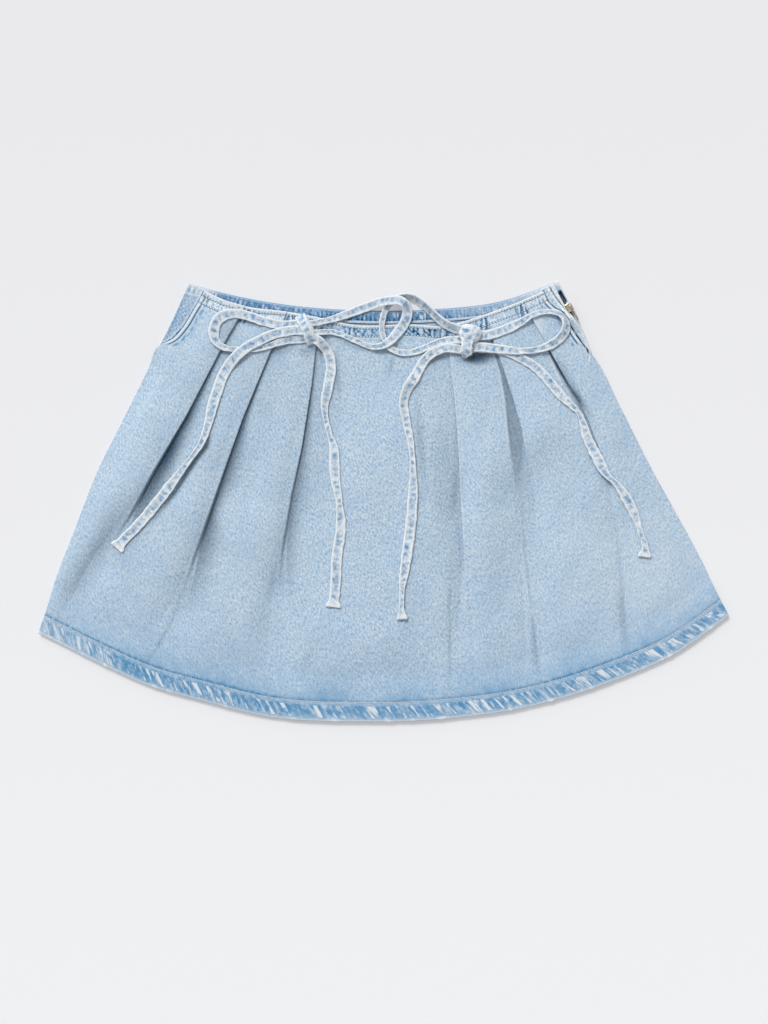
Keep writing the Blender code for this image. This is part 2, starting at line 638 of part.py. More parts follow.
def build():
    clear_scene()
    collection = make_collection("denim_skirt")
    cutters = make_collection("cutters")
    cutters.hide_render = True
    materials = {name: make_material(name) for name in MATERIALS}
    side_length = np.linalg.norm(np.diff(np.array(LEFT_SIDE), axis=0), axis=1).sum()
    hem_share = 1 - HEM_DEPTH / side_length
    edge_share = EDGE_INSET / side_length

    plate("back_panel", back_outline(), 0, materials["denim_inside"], collection)
    facing = strip(back_point, edge_share, edge_share + FACING_DEPTH / side_length)
    plate("back_waist_facing", facing, LAYER, materials["denim_inside"], collection)
    plate("hip_piece_left", hip_left_outline(), 2 * LAYER, materials["denim_hip"], collection)
    plate("hip_piece_right", HIP_RIGHT, 2 * LAYER, materials["denim_hip"], collection)
    hem_turn = strip(back_point, hem_share, 1 - edge_share, 60)
    plate("back_hem_turn", hem_turn, LAYER, materials["denim_inside"], collection)
    plate("front_hem_turn", hem_turn, 2 * LAYER, materials["denim_inside"], collection)

    rows = [panel_row(v) for v in PANEL_ROWS]
    front = add_object("front_panel", sheet_mesh("front_panel", rows), materials["denim"], collection)
    solidify(front, CLOTH)

    zip_chain(materials, collection)
    zip_slider(materials, collection, cutters)
    zip_pull_tab(materials, collection, cutters)

    panel_points = np.concatenate([panel_row(v, 12) for v in np.linspace(0, 1, 90)])
    ties = []
    spaces = {
        name: add_knot(name, spec, panel_points, materials, collection, cutters)
        for name, spec in KNOTS.items()
    }
    for name, route in TIES.items():
        bow = next(bow for bow in KNOTS if name.startswith(bow))
        points = strap_points(route, panel_points, ties)
        tie = add_object(name, strap_mesh(name, points), materials["denim_tie"], collection)
        add_boolean(tie, spaces[bow], "DIFFERENCE")
        ties.append(points[~under_knot(KNOTS[bow], points, -KNOT_INSIDE)])


build()
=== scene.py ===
"""The denim skirt as it lies in the photograph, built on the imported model's frame.

X runs to the right across the front, Y towards the waist and Z up. Tables and shapes are in
millimetres; meshes, lights and the camera are in metres."""

import json
import math
from collections import namedtuple
from types import SimpleNamespace

import bpy
import numpy as np
from mathutils import Vector
from mathutils.bvhtree import BVHTree
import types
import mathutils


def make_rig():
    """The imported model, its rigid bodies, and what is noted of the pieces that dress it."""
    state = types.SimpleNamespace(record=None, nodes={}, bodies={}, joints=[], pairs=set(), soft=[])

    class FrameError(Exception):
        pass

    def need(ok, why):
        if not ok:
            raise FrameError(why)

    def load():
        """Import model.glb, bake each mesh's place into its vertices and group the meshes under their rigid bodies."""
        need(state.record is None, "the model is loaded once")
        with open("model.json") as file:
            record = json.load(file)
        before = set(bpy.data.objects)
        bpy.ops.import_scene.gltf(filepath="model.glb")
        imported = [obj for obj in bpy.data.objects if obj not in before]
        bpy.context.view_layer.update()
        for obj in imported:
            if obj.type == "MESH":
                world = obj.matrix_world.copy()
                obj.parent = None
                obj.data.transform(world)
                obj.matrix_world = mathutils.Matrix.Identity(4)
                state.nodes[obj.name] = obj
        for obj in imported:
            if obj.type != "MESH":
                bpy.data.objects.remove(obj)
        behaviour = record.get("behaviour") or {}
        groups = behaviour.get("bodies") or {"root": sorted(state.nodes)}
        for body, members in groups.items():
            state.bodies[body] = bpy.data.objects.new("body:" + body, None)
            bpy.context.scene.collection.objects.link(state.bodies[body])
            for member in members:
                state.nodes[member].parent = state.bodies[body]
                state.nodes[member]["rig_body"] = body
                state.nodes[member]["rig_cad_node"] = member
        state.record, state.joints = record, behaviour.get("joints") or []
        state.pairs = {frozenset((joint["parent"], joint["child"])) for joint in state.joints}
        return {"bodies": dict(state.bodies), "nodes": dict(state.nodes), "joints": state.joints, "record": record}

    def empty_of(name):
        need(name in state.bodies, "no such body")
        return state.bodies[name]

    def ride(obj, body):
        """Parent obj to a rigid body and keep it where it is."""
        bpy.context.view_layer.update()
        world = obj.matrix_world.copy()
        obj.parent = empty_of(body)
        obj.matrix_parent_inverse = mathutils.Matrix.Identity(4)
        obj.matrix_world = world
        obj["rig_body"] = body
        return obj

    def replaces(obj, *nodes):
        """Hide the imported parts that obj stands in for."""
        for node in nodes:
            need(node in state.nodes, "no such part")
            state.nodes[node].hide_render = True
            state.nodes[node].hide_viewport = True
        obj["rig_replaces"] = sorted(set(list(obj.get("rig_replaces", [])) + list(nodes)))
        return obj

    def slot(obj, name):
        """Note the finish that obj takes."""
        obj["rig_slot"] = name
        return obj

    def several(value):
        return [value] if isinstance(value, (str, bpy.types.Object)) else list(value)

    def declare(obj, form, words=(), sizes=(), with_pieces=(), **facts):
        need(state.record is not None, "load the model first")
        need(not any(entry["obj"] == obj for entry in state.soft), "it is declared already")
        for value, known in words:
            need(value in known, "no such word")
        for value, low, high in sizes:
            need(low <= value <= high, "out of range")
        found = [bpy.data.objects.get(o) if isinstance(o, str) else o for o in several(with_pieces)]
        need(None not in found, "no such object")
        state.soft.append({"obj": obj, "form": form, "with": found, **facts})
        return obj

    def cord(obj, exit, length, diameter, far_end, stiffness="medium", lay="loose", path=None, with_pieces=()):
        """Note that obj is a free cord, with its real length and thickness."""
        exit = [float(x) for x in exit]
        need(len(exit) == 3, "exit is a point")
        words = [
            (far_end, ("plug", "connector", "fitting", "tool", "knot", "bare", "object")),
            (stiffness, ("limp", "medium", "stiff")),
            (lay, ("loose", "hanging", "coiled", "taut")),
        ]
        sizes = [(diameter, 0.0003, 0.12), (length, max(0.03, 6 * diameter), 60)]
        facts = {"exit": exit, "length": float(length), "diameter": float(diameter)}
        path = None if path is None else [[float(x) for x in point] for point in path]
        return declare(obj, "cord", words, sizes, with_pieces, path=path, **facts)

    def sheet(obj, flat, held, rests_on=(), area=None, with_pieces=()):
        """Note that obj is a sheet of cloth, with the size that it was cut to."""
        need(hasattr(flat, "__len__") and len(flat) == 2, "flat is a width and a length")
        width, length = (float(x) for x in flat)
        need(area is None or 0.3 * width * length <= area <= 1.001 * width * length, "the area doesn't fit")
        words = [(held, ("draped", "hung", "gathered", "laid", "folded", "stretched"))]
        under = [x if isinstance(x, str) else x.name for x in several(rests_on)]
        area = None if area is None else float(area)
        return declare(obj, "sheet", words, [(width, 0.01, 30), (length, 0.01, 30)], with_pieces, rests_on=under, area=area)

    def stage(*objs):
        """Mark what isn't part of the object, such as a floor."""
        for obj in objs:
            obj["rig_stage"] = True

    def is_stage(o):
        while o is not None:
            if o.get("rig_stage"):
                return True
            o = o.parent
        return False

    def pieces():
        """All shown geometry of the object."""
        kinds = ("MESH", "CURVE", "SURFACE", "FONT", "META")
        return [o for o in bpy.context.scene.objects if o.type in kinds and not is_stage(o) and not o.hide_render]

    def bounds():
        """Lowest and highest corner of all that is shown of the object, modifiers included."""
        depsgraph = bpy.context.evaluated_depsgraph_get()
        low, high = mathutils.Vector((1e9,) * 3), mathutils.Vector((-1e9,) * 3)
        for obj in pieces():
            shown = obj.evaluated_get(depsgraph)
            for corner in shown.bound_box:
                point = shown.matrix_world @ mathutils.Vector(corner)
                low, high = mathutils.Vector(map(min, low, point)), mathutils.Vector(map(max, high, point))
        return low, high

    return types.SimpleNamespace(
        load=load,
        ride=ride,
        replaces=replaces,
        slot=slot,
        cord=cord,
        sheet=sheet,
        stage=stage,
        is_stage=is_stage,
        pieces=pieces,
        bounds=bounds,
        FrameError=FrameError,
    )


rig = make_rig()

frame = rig.load()
cad_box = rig.bounds()

MM = 0.001

# The camera looks straight down
LENS = 85.0
SENSOR = 36.0
VIEW_HEIGHT = 1.024
VIEW_CENTRE = (0.0004, -0.01125)

# Soft lights: direction, angle they fill in degrees, and strength
SUNS = {
    "window": ((0.5, -1.0, -1.2), 16, 1.75),
    "low_window": ((0.5, -1.0, -0.75), 70, 1.0),
}
SKY = 0.45
FLOOR_GLOW = 0.3
FLOOR_HALF = 6.0
FLOOR_Z = -0.0002

# Cloth, as in the part's source
CLOTH = 1.0
SEAM = 0.3
LAYER = CLOTH + SEAM
HEM_DEPTH = 17.0
EDGE_INSET = 1.2
STRAP_WIDTH = 9.5
STRAP_THICKNESS = 1.8
CHAIN_INSET = 3.8

# Height of the front's underside: at the waist, below it and at the hem, and the shares of the way down
# at which it changes
WAIST_BASE = 3 * LAYER
BODY_BASE = LAYER
HEM_BASE = 3 * LAYER
WAIST_BASE_ENDS = 0.34
BODY_BASE_STARTS = 0.5
BODY_BASE_ENDS = 0.88
HEM_BASE_STARTS = 0.945

# Pleats: radius of a pressed fold, cloth left under an open one, half width of a faded one, the run
# beside a fold on its upper and lower side, and how much the cloth under it is puffed up
PRESSED_RADIUS = 0.75
OPEN_UNDERLAP = 1.5
FADED_HALF_WIDTH = 6.0
RUN_IN = 1.6
RUN_OUT = 1.8
PUFF = 0.4

# Grid of the front cloth: length down a side, steps round half a fold and points between two folds
SIDE_LENGTH = 383.0
ARC_STEPS = 5
BETWEEN = 61

# Turned hems: radius of the fold, and the turns in degrees at which the front's and the back's have points
TURN_RADIUS = LAYER / 2
FRONT_TURNS = (35, 75, 110, 145, 180)
BACK_TURNS = (45, 90, 135, 180)

# Distances down the front cloth from its waist edge, closer at the waist and hem
WAIST_ROWS = [
    0, 0.6, 1.2, 1.9, 2.6, 3.3, 4.2, 5.2, 6.2, 7.2, 8.2, 9.2, 10.0, 10.6, 11.4, 12.6, 14.2, 16.4, 19, 22,
]
HEM_ROWS = [
    355.5, 357.5, 359.5, 361.5, 363, 364.4, 365.2, 366, 366.8, 367.8, 369.4, 371.2, 373, 375, 377, 379,
    380.6, 381.8, 383,
]
BODY_ROWS = 93

# Distances of the two rows of waist stitches from the edge
STITCH_INSET = 2.6
SECOND_STITCH = 10.2

# Outline of the laid skirt: (x, y)
LEFT_SIDE = [
    (-195, 217), (-206.5, 191), (-216, 170.5), (-224.6, 154.3), (-234, 134),
    (-260, 81), (-285, 31), (-307, -25), (-328, -80), (-338, -114),
    (-344.1, -131),
]
RIGHT_SIDE = [
    (174.5, 219.75), (183, 201.5), (189.5, 190.5), (199.5, 169.5), (209.2, 144),
    (236.4, 93), (268.4, 30), (298.8, -25), (317.5, -60), (334.5, -96),
    (344.1, -114),
]
HEM = [
    (-344.1, -131), (-285, -160.5), (-233, -184), (-181.5, -198.5), (-112.5, -215),
    (-28.5, -219.65), (76.5, -215.3), (142, -205.3), (226.5, -180), (290.5, -152),
    (344.1, -114),
]
BACK_WAIST = [
    (-195, 217), (-158.5, 207), (-83.5, 194), (-30, 190.3), (52, 191.3),
    (116.5, 199), (161.5, 214.5), (174.5, 219.75),
]
FRONT_WAIST = [
    (-178.6, 209.3), (-158.6, 200), (-138, 194), (-93.6, 188), (-58.6, 181.3),
    (-30, 175.4), (26.4, 176), (64.4, 174.5), (91.4, 182.3), (135.4, 198.4),
    (159.4, 208.8),
]
LEFT_POCKET = [
    (-178.6, 209.3), (-184.1, 198.8), (-189.5, 190), (-199, 174), (-211, 161),
    (-224.6, 154.3),
]
RIGHT_POCKET = [
    (159.4, 208.8), (163.5, 199), (170, 192.5), (181, 186.5), (184.6, 177),
    (198.4, 155.8), (209.2, 144),
]
POCKET_ENDS = 3

# Pleats, from left to right: side is +1 where the fold edge faces right, underlap the cloth folded under
# it at the waist, gone the height y at which it has faded away, swell the radius it opens to, ink how
# dark the painted shade in its gap is, inked how far open it is where that shade shows first,
# shade how dark the painted shade on the cloth beside it is, rim how far open it is where its pale edge
# ends, and edge its fold line (x, y)
Pleat = namedtuple("Pleat", "side underlap gone swell ink inked shade rim edge")
PLEATS = [
    Pleat(1, 13, -66, 3, 1, 0, 1, 0.1, [
        (-139, 193), (-160, 156), (-198, 83), (-229, 31), (-256, -19), (-284, -59), (-322, -130)]),
    Pleat(1, 13, -120, 3.2, 0.9, 0, 1, 0.08, [
        (-97, 188), (-113, 149), (-140, 84), (-159, 31), (-185, -43), (-202, -95), (-243, -188)]),
    Pleat(1, 13, -112, 2.8, 0.6, 0, 0.9, 0.1, [
        (-62, 182), (-67, 160), (-72, 116), (-82, 52), (-92, 7), (-101, -45), (-114, -216)]),
    Pleat(-1, 12, -150, 1.6, 0.05, 0, 0.3, 0.8, [
        (66, 175), (66, 147), (72, 94), (75, 49), (77, 7), (81, -60), (84, -214)]),
    Pleat(-1, 12, 12, 2.6, 0.7, 0, 0.1, 0.05, [
        (104, 187), (111, 154), (116.5, 141), (120, 131), (129.5, 101), (138, 71), (142, 41), (147, -89),
        (155, -202)]),
    Pleat(-1, 8, -40, 2, 0.9, 0.2, 0.12, 0.05, [
        (140, 200), (150, 179), (168, 147), (184, 118), (204, 81), (227, 21), (233, -4), (258, -170)]),
]

# Where a pleat opens into a shaded hollow: the line (x, y) on its lower side that bounds it
HOLLOW_PLEAT = 4
HOLLOW_EDGE = [(110.4, 150), (115.9, 131), (121.4, 101), (123.9, 71), (127.4, 41), (131, 10), (134, -20)]

# Thin pale lines along the edges of folds: how pale, half width and the line (x, y)
PALE_LINES = [
    (0.75, 0.8, [(149, 182), (156, 168), (160, 158.5), (164.5, 147), (173, 126), (180, 113)]),
    (0.5, 0.7, [(108.5, 148.5), (114.5, 131), (120, 101), (122.6, 71), (126, 43)]),
    (0.5, 0.8, [(-69.5, 165), (-72, 140)]),
]

# Thin painted shadows along the edges of folds and beside the left bow's outer tail: how dark, half width
# and the line (x, y)
SHADOW_LINES = [
    (0.9, 1.1, [(160.4, 157), (166.4, 146), (176, 129), (186, 113), (194.2, 101), (203.4, 86),
                (212, 70)]),
    (0.3, 3, [(168, 147), (178, 129), (188, 113), (196.2, 101), (206, 86), (214, 70)]),
    (0.5, 0.9, [(111, 147), (115.5, 134), (118.5, 122)]),
    (0.9, 2.4, [(-171.5, 72), (-175.9, 54.5), (-188.4, 38), (-195.4, 27.5), (-206.3, 10.6), (-222.2, -9.8),
                (-238, -29)]),
]

# How dark and wide the shade beside each fold is, from left to right: how far
# open it is, strength, reach and sharpness
RIGHT_SHADE = [
    (0, 0.15, 1.5, 1), (0.2, 0.5, 2.2, 1), (0.28, 1, 3.4, 1), (0.38, 1, 5, 1.1),
    (0.54, 0.9, 9.5, 1.3), (0.73, 0.68, 16, 1.9), (1, 0, 17, 2),
]
FOLD_SHADES = [
    [(0, 0.15, 1.5, 1), (0.2, 0.5, 2.2, 1), (0.28, 1, 3.6, 1.1), (0.43, 1, 9.8, 2),
     (0.49, 1, 12, 2), (0.55, 1, 14.3, 2.9), (0.61, 0.94, 16.5, 2.9), (0.67, 0.84, 17.5, 3),
     (0.72, 0.76, 17.5, 3), (0.78, 0.58, 18, 3), (0.86, 0.34, 18, 3), (1, 0, 18, 2)],
    [(0, 0.15, 1.5, 1), (0.2, 0.5, 2.2, 1), (0.28, 1, 3.6, 1.2), (0.35, 1, 6.3, 1.9),
     (0.45, 0.88, 11.6, 1.7), (0.54, 0.93, 12.5, 1.5), (0.6, 1, 9, 1.6), (0.64, 1, 8, 1.7),
     (0.68, 0.86, 12.5, 1.9), (0.74, 0.7, 17.5, 2.1), (0.84, 0.38, 17, 2.5), (1, 0, 17, 2)],
    [(0, 0.15, 1.5, 1), (0.2, 0.5, 2.2, 1), (0.28, 1, 3.4, 1), (0.38, 1, 5, 1.1),
     (0.54, 0.9, 9.5, 1.3), (0.7, 0.72, 11.5, 1.7), (0.8, 0.45, 11, 2), (0.9, 0.22, 11, 2),
     (1, 0, 12, 2)],
    RIGHT_SHADE, RIGHT_SHADE, RIGHT_SHADE,
]

# Places kept in shade by the ties: (x, y), half length, half width, heading in degrees and strength
SHADED = [
    (72, 167.5, 5.5, 4.5, 0, 0.85), (93, 143, 15, 6.5, 0, 0.95), (-158, 171, 8, 5, 90, 0.3),
    (-131, 177.5, 12, 3, -20, 0.35), (-100, 150, 14, 4, 20, 0.3), (52, 143, 12, 5, 35, 0.35),
    (12, 149, 22, 3.5, 0, 0.3), (-30, 156, 18, 3.5, -20, 0.25), (37, 60, 46, 4, 95, 0.22),
    (-46, 125, 22, 3, 95, 0.3), (60, 25, 60, 12, 90, 0.13), (-60, 151, 9, 5, 80, 0.6),
    (-75, 149, 9, 4, 10, 0.5), (143, 0, 34, 9, 90, 0.12), (-58, 170, 9, 2, 15, 0.6),
]

# How high the cloth between two pleats swells, from left to right
BILLOWS = [2, 3.2, 3.6, 4.6, 3.2, 3, 2]

# Creases of the front: height, half width, how dark the painted shade in it is and the line (x, y) it follows
Crease = namedtuple("Crease", "height width shade line")
CREASES = [
    Crease(-0.9, 3.5, 0.2, [(149, -115), (151, -145), (154, -178)]),
    Crease(-0.8, 3.5, 0.2, [(237, -94), (239, -125), (241, -150)]),
    Crease(-0.9, 4, 0.15, [(-71, -144), (-75, -160), (-81, -174)]),
    Crease(-0.8, 1.8, 0.3, [(10, 144), (8, 134), (4, 121)]),
    Crease(-1, 2.2, 0.26, [(72.5, 26), (71.5, 10), (71, -4), (68, -19)]),
    Crease(-0.6, 1.4, 0.25, [(67, -50), (66, -90), (66, -140), (65, -199)]),
    Crease(-0.5, 1.6, 0.2, [(137, 20), (141, -49), (146, -89), (154, -169)]),
    Crease(-0.5, 2, 0.15, [(229, -4), (236, -60), (244, -149)]),
    Crease(-2, 12, 0.26, [(-256, 0), (-279, -39), (-304, -79), (-325, -112)]),
    Crease(-1.2, 9, 0.1, [(-180, -60), (-192, -85), (-203, -119)]),
    Crease(-1.2, 9, 0.1, [(-99, -60), (-104, -79), (-112, -104)]),
    Crease(-0.9, 1.6, 0.3, [(-202, -95), (-212, -122), (-228, -150), (-240, -166)]),
    Crease(0.9, 8, 0, [(-300, -20), (-330, -90)]),
    Crease(0.8, 12, 0, [(20, 60), (24, -40), (10, -150)]),
    Crease(-0.8, 14, 0.04, [(120, 40), (118, -60), (112, -170)]),
]

# Turned cloth behind the hems: distances from the edge at which the front's and the back's have points,
# and how far the back's edge is set in
FRONT_DEPTHS = (3, 8, 13, HEM_DEPTH - 1)
BACK_DEPTHS = (4, 10, HEM_DEPTH)
BACK_HEM_INSET = 1.0

# Back: rough widths for its grain at the hem and at the waist, and the band inside its waist
BACK_HEM_WIDTH = 700.0
BACK_WAIST_WIDTH = 400.0
BAND_LENGTH = 372.0
BAND_ROWS = [EDGE_INSET, 1.6, 2.1, 3, 4, 5, 6, 7, 8, 8.6, 9.2, 9.8, 10.4, 11, 11.7]

# The tack at the top of the left pocket edge
POCKET_TACK = (-177.5, 202.0)

# Hip pieces: how deep they are, their edges (x, y) from the waist down, the seam beside the zip and the
# dark slit above it, painted as shade on the cloth under it
HIP_DEPTH = 80.0
HIP_LEFT_INNER = [(-178.5, 210.4), (-167, 199), (-180, 168), (-201, 148), (-222, 141)]
HIP_RIGHT_OUTER = [
    (169.5, 216.6), (172.6, 210.6), (175.4, 204.5), (179.6, 197), (184, 189), (189.4, 182.4),
    (197.4, 170), (203.2, 157.5), (206.6, 148), (206, 138),
]
HIP_RIGHT_INNER = [(158, 211.5), (152, 196), (171, 168), (190, 142), (200, 134)]
ZIP_SEAM = [(165.6, 213.5), (169.6, 207), (174, 200.4), (180.6, 192.4), (186, 185)]
ZIP_SLIT = [(176.4, 208.4), (178.8, 204.2), (181.2, 200)]

# Knots: where the height of the cloth under it is taken (x, y), its core's middle, size and heading in
# degrees, and the line, width and height of the band round it, and how much that comes to a point
Knot = namedtuple("Knot", "at core size heading line width height pointed")
KNOTS = {
    "bow_left": Knot(
        (-76.5, 170), (-76.5, 171), (13, 25, 7), 25,
        [(-83.4, 184), (-80, 177), (-76, 169), (-70.5, 156.5)], 11.5, 8, 0,
    ),
    "bow_right": Knot(
        (83.4, 159.5), (86.2, 166.6), (22, 18, 9.5), -12,
        [(84.4, 166), (83.2, 158.5), (82.4, 150.5), (80.6, 142.2)], 13.6, 8.6, 0.72,
    ),
}

# The ties' routes, from the lowest to the one that lies on top: (x, y, tilt in degrees)
TIES = {
    "bow_left_loop_outer": [
        (-77, 176, 0), (-88, 175.6, 0), (-105.3, 175.3, 0), (-118.6, 178.6, 0), (-133.6, 183.6, 0),
        (-144.6, 186.4, 0), (-155.3, 185.6, 0), (-164, 181, 5), (-168.6, 172.5, 10), (-168.6, 162.5, 10),
        (-164.2, 155.4, 5), (-155.3, 151.6, 0), (-145.3, 151, 0), (-125.3, 151.2, 0), (-115.3, 153.8, 0),
        (-105.3, 157.2, 0), (-96.6, 159.8, 0), (-86.6, 160.6, 0), (-76, 161.5, 0),
    ],
    "bow_right_tail_outer": [
        (86, 152, 0), (97, 152, 0), (108, 151.6, 0), (121.4, 148.8, 0), (136.4, 142.3, 0),
        (154, 130.8, 0), (165.4, 118.3, 0), (176.9, 104.8, 0), (194.4, 87.3, 0), (203.9, 60.8, 0),
        (212.4, 43.8, 0), (222.4, 25.8, 0), (233.4, 14.8, 0), (243.4, -0.3, 0), (251.9, -17.8, 0),
        (257, -34.3, 0), (261.1, -47.3, 0), (260.1, -56.3, 0),
    ],
    "bow_right_loop_inner": [
        (82, 169, 20), (72.5, 171, 30), (63, 175, 40), (54.5, 181.5, 45), (46, 189.5, 50),
        (38, 197, 50), (28, 202.6, 50), (16.4, 202.6, 45), (7.4, 197.8, 35), (1.4, 189, 25),
        (-1.6, 177.8, 15), (-1.4, 167.4, 10), (2, 158.8, 10), (7.4, 151.6, 10), (16.4, 148, 10),
        (27, 147.6, 0), (39.3, 151.2, 0), (52.8, 157.2, 0), (63.5, 159.6, 0), (72, 160, 0),
        (82, 160, 0),
    ],
    "bow_left_loop_inner": [
        (-77, 175.8, 0), (-65.6, 177.6, 0), (-53.6, 180.2, 0), (-39.3, 185, 0), (-25, 190.4, 0),
        (-14, 194.4, 0), (-3.6, 197.6, 0), (8, 199.6, 10), (16.5, 199.2, 15), (21.6, 195.4, 15),
        (23.7, 188.5, 15), (22.5, 180.8, 10), (18.5, 173.6, 5), (12.8, 166.4, 0), (7, 159.6, 0),
        (-1, 154.6, 0), (-10.7, 153.4, 0), (-25, 158.4, 0), (-39.3, 164.6, 0), (-50, 168, 0),
        (-61, 168, 0), (-74, 166, 0),
    ],
    "bow_left_tail_outer": [
        (-76, 169.8, 0), (-88, 169.6, 0), (-105.6, 166.8, 0), (-122.6, 159.8, 0), (-138.6, 150.8, 0),
        (-152, 138, 0), (-161.6, 121, 0), (-168.6, 100.8, 0), (-181.1, 57.8, 0),
        (-200.6, 30.8, 0), (-212.6, 14.8, 0), (-228.6, -5.3, 0), (-244.6, -24.3, 0),
        (-258.6, -38.3, 0), (-266.6, -47.3, 0),
    ],
    "bow_left_tail_inner": [
        (-72, 163, 0), (-62, 156.5, 0), (-55.5, 148, 0), (-52.6, 134.8, 0), (-55, 115.8, 0),
        (-58.9, 92.8, 15), (-54.8, 69.8, 0), (-49.6, 51.8, 0), (-48.6, 25.8, 0), (-43.6, -6.3, 0),
        (-42.6, -26.3, 0), (-46.1, -52.3, 0), (-48.9, -94.3, 0), (-50.3, -106.3, 0),
    ],
    "bow_right_tail_inner": [
        (82, 150, 0), (70.5, 151.4, 0), (63.4, 152, 0), (54.4, 149.8, 0), (42.4, 141.8, 0),
        (31.4, 123.8, 0), (23.4, 110.8, 20), (19.9, 98.8, 20), (22.4, 80.8, 0), (27.4, 54.8, 0),
        (29.4, 20.8, 0), (28.4, -7.3, 0), (26.9, -24.3, 0), (22.4, -59.3, 0), (18.4, -87.3, 0),
        (17.8, -104.3, 0), (18.4, -118.3, 0),
    ],
    "bow_right_loop_outer": [
        (83, 166.5, 0), (94.5, 164.6, 0), (106.4, 165.6, 0), (117, 169, 0), (127.4, 173.2, 0),
        (137.4, 178.4, 0), (146.4, 183.8, 5), (157.4, 187.6, 10), (168.4, 188, 20), (176.9, 184.6, 30),
        (181.4, 177.6, 35), (180.9, 169.6, 30), (176.4, 162.6, 20), (168.9, 156.6, 10), (159.4, 152.2, 0),
        (149.4, 150, 0), (137.4, 148.8, 0), (124.4, 149.8, 0), (111.4, 151.4, 0), (98.4, 152.8, 0),
        (83, 153.4, 0),
    ],
}

# Ties: step along them, gap over what they lie on, half the width of the window that evens out their
# height, in steps, and the widest that half of one gets
TIE_STEP = 1.2
TIE_GAP = 0.15
TIE_WINDOW = 7
WIDEST_HALF = 5.4

# Shares of a tie's half width at which the cloth under it is looked for
SHARES_ACROSS = np.array([[-1], [-0.5], [0], [0.5], [1]])

# How wide each tail looks where it turns over: (y, width)
TAIL_WIDTHS = {
    "bow_left_tail_outer": [
        (166, 10), (128, 11), (98, 11), (71, 8), (54, 6), (41, 5.2), (26, 7.5), (13, 10.5), (-24, 10.5),
        (-47, 10),
    ],
    "bow_left_tail_inner": [
        (160, 10), (126, 10.5), (106, 10), (94, 8), (84, 5.8), (64, 5.8), (46, 10.5), (26, 10.5), (6, 8),
        (-4, 6.5), (-19, 10), (-61, 11), (-86, 10.5), (-106, 10),
    ],
    "bow_right_tail_inner": [
        (150, 9), (118, 11), (94, 9.5), (74, 8), (41, 5.6), (28, 7), (8, 10), (-36, 11), (-56, 10.5),
        (-76, 9), (-89, 5.2), (-106, 5.6), (-118, 7.5),
    ],
    "bow_right_tail_outer": [
        (152, 9), (108, 10), (87, 5.2), (69, 9), (50, 10.5), (33, 10.5), (21, 5.2), (3, 10.5), (-12, 9.5),
        (-26, 5.6), (-41, 6), (-56, 9),
    ],
}

# How wide each loop looks along it: (share of its length, width)
LOOP_WIDTHS = {
    "bow_left_loop_outer": [
        (0, 9), (0.25, 9.5), (0.36, 9.5), (0.42, 11), (0.5, 11), (0.57, 7), (0.62, 5.5), (0.72, 5.5),
        (0.82, 6), (0.9, 8), (1, 8.5),
    ],
    "bow_right_loop_inner": [
        (0, 9), (0.25, 8.5), (0.33, 7), (0.42, 6), (0.5, 5.7), (0.6, 6), (0.66, 6.5), (0.78, 7),
        (0.9, 7.5), (1, 8),
    ],
    "bow_left_loop_inner": [
        (0, 6), (0.1, 6.5), (0.17, 8), (0.24, 9.5), (0.4, 9), (0.48, 10.5), (0.6, 10), (0.68, 7),
        (0.74, 5.5), (0.9, 5.5), (1, 6),
    ],
    "bow_right_loop_outer": [
        (0, 9.5), (0.21, 10), (0.27, 7.5), (0.31, 5.5), (0.46, 5.4), (0.51, 8.8), (0.6, 9.4), (0.67, 7.5),
        (0.74, 6), (0.8, 8), (0.86, 9.5), (1, 9.5),
    ],
}

# The zip chain: (y, lowest z, highest z)
CHAIN = [
    (207, 1.5, 2.7), (200, 2.2, 6.4), (188, 2.2, 6.4), (178, 2.2, 6), (168, 1.8, 3.4),
    (146, 1.6, 3.4), (126, 1.6, 3.4), (108, 1.6, 3.4),
]

# Half the thickness of the zip's tape, half the length of its teeth and their pitch
TAPE_HALF = 0.35
TOOTH_HALF = 0.75
TOOTH_PITCH = 1.25

# A height above the whole skirt, from which its surface is looked for
ABOVE_ALL = 200.0


def smoothstep(value, low, high):
    share = np.clip((value - low) / (high - low), 0, 1)
    return share * share * (3 - 2 * share)


def fade(value, low, high):
    """From 1 up to the lower value to 0 from the higher one."""
    return 1 - smoothstep(value, low, high)


def hump(value, middle, half_width):
    """A soft band round a value: 1 in its middle, next to nothing beyond twice its half width."""
    return np.exp(-(((value - middle) / half_width) ** 2))


def field(x, y, size, seed, count=9):
    """A smooth uneven field with waves of about this size, mostly between -1 and 1."""
    draw = np.random.default_rng(seed)
    total = np.zeros(np.broadcast(x, y).shape)
    for _ in range(count):
        angle, phase = draw.uniform(0, 2 * math.pi, 2)
        pitch = 2 * math.pi / (size * draw.uniform(0.65, 1.5))
        total += np.sin(pitch * (x * math.cos(angle) + y * math.sin(angle)) + phase)
    return total / math.sqrt(count / 2) * 0.6


def unit(vectors):
    return vectors / np.maximum(np.linalg.norm(vectors, axis=-1, keepdims=True), 1e-9)


def distances(points):
    """How far along a line each of its points lies."""
    return np.concatenate([[0], np.cumsum(np.linalg.norm(np.diff(points, axis=0), axis=1))])


def along(points, share):
    """Points at these shares of the length of a smooth curve through points."""
    points = np.asarray(points, float)
    knots = distances(points[:, :2])
    knots /= knots[-1]
    slopes = np.gradient(points, knots, axis=0)
    share = np.clip(np.atleast_1d(share), 0, 1)
    i = np.clip(np.searchsorted(knots, share, side="right") - 1, 0, len(points) - 2)
    span = (knots[i + 1] - knots[i])[:, None]
    t = (share - knots[i])[:, None] / span
    return (
        (2 * t**3 - 3 * t**2 + 1) * points[i]
        + (t**3 - 2 * t**2 + t) * span * slopes[i]
        + (3 * t**2 - 2 * t**3) * points[i + 1]
        + (t**3 - t**2) * span * slopes[i + 1]
    )


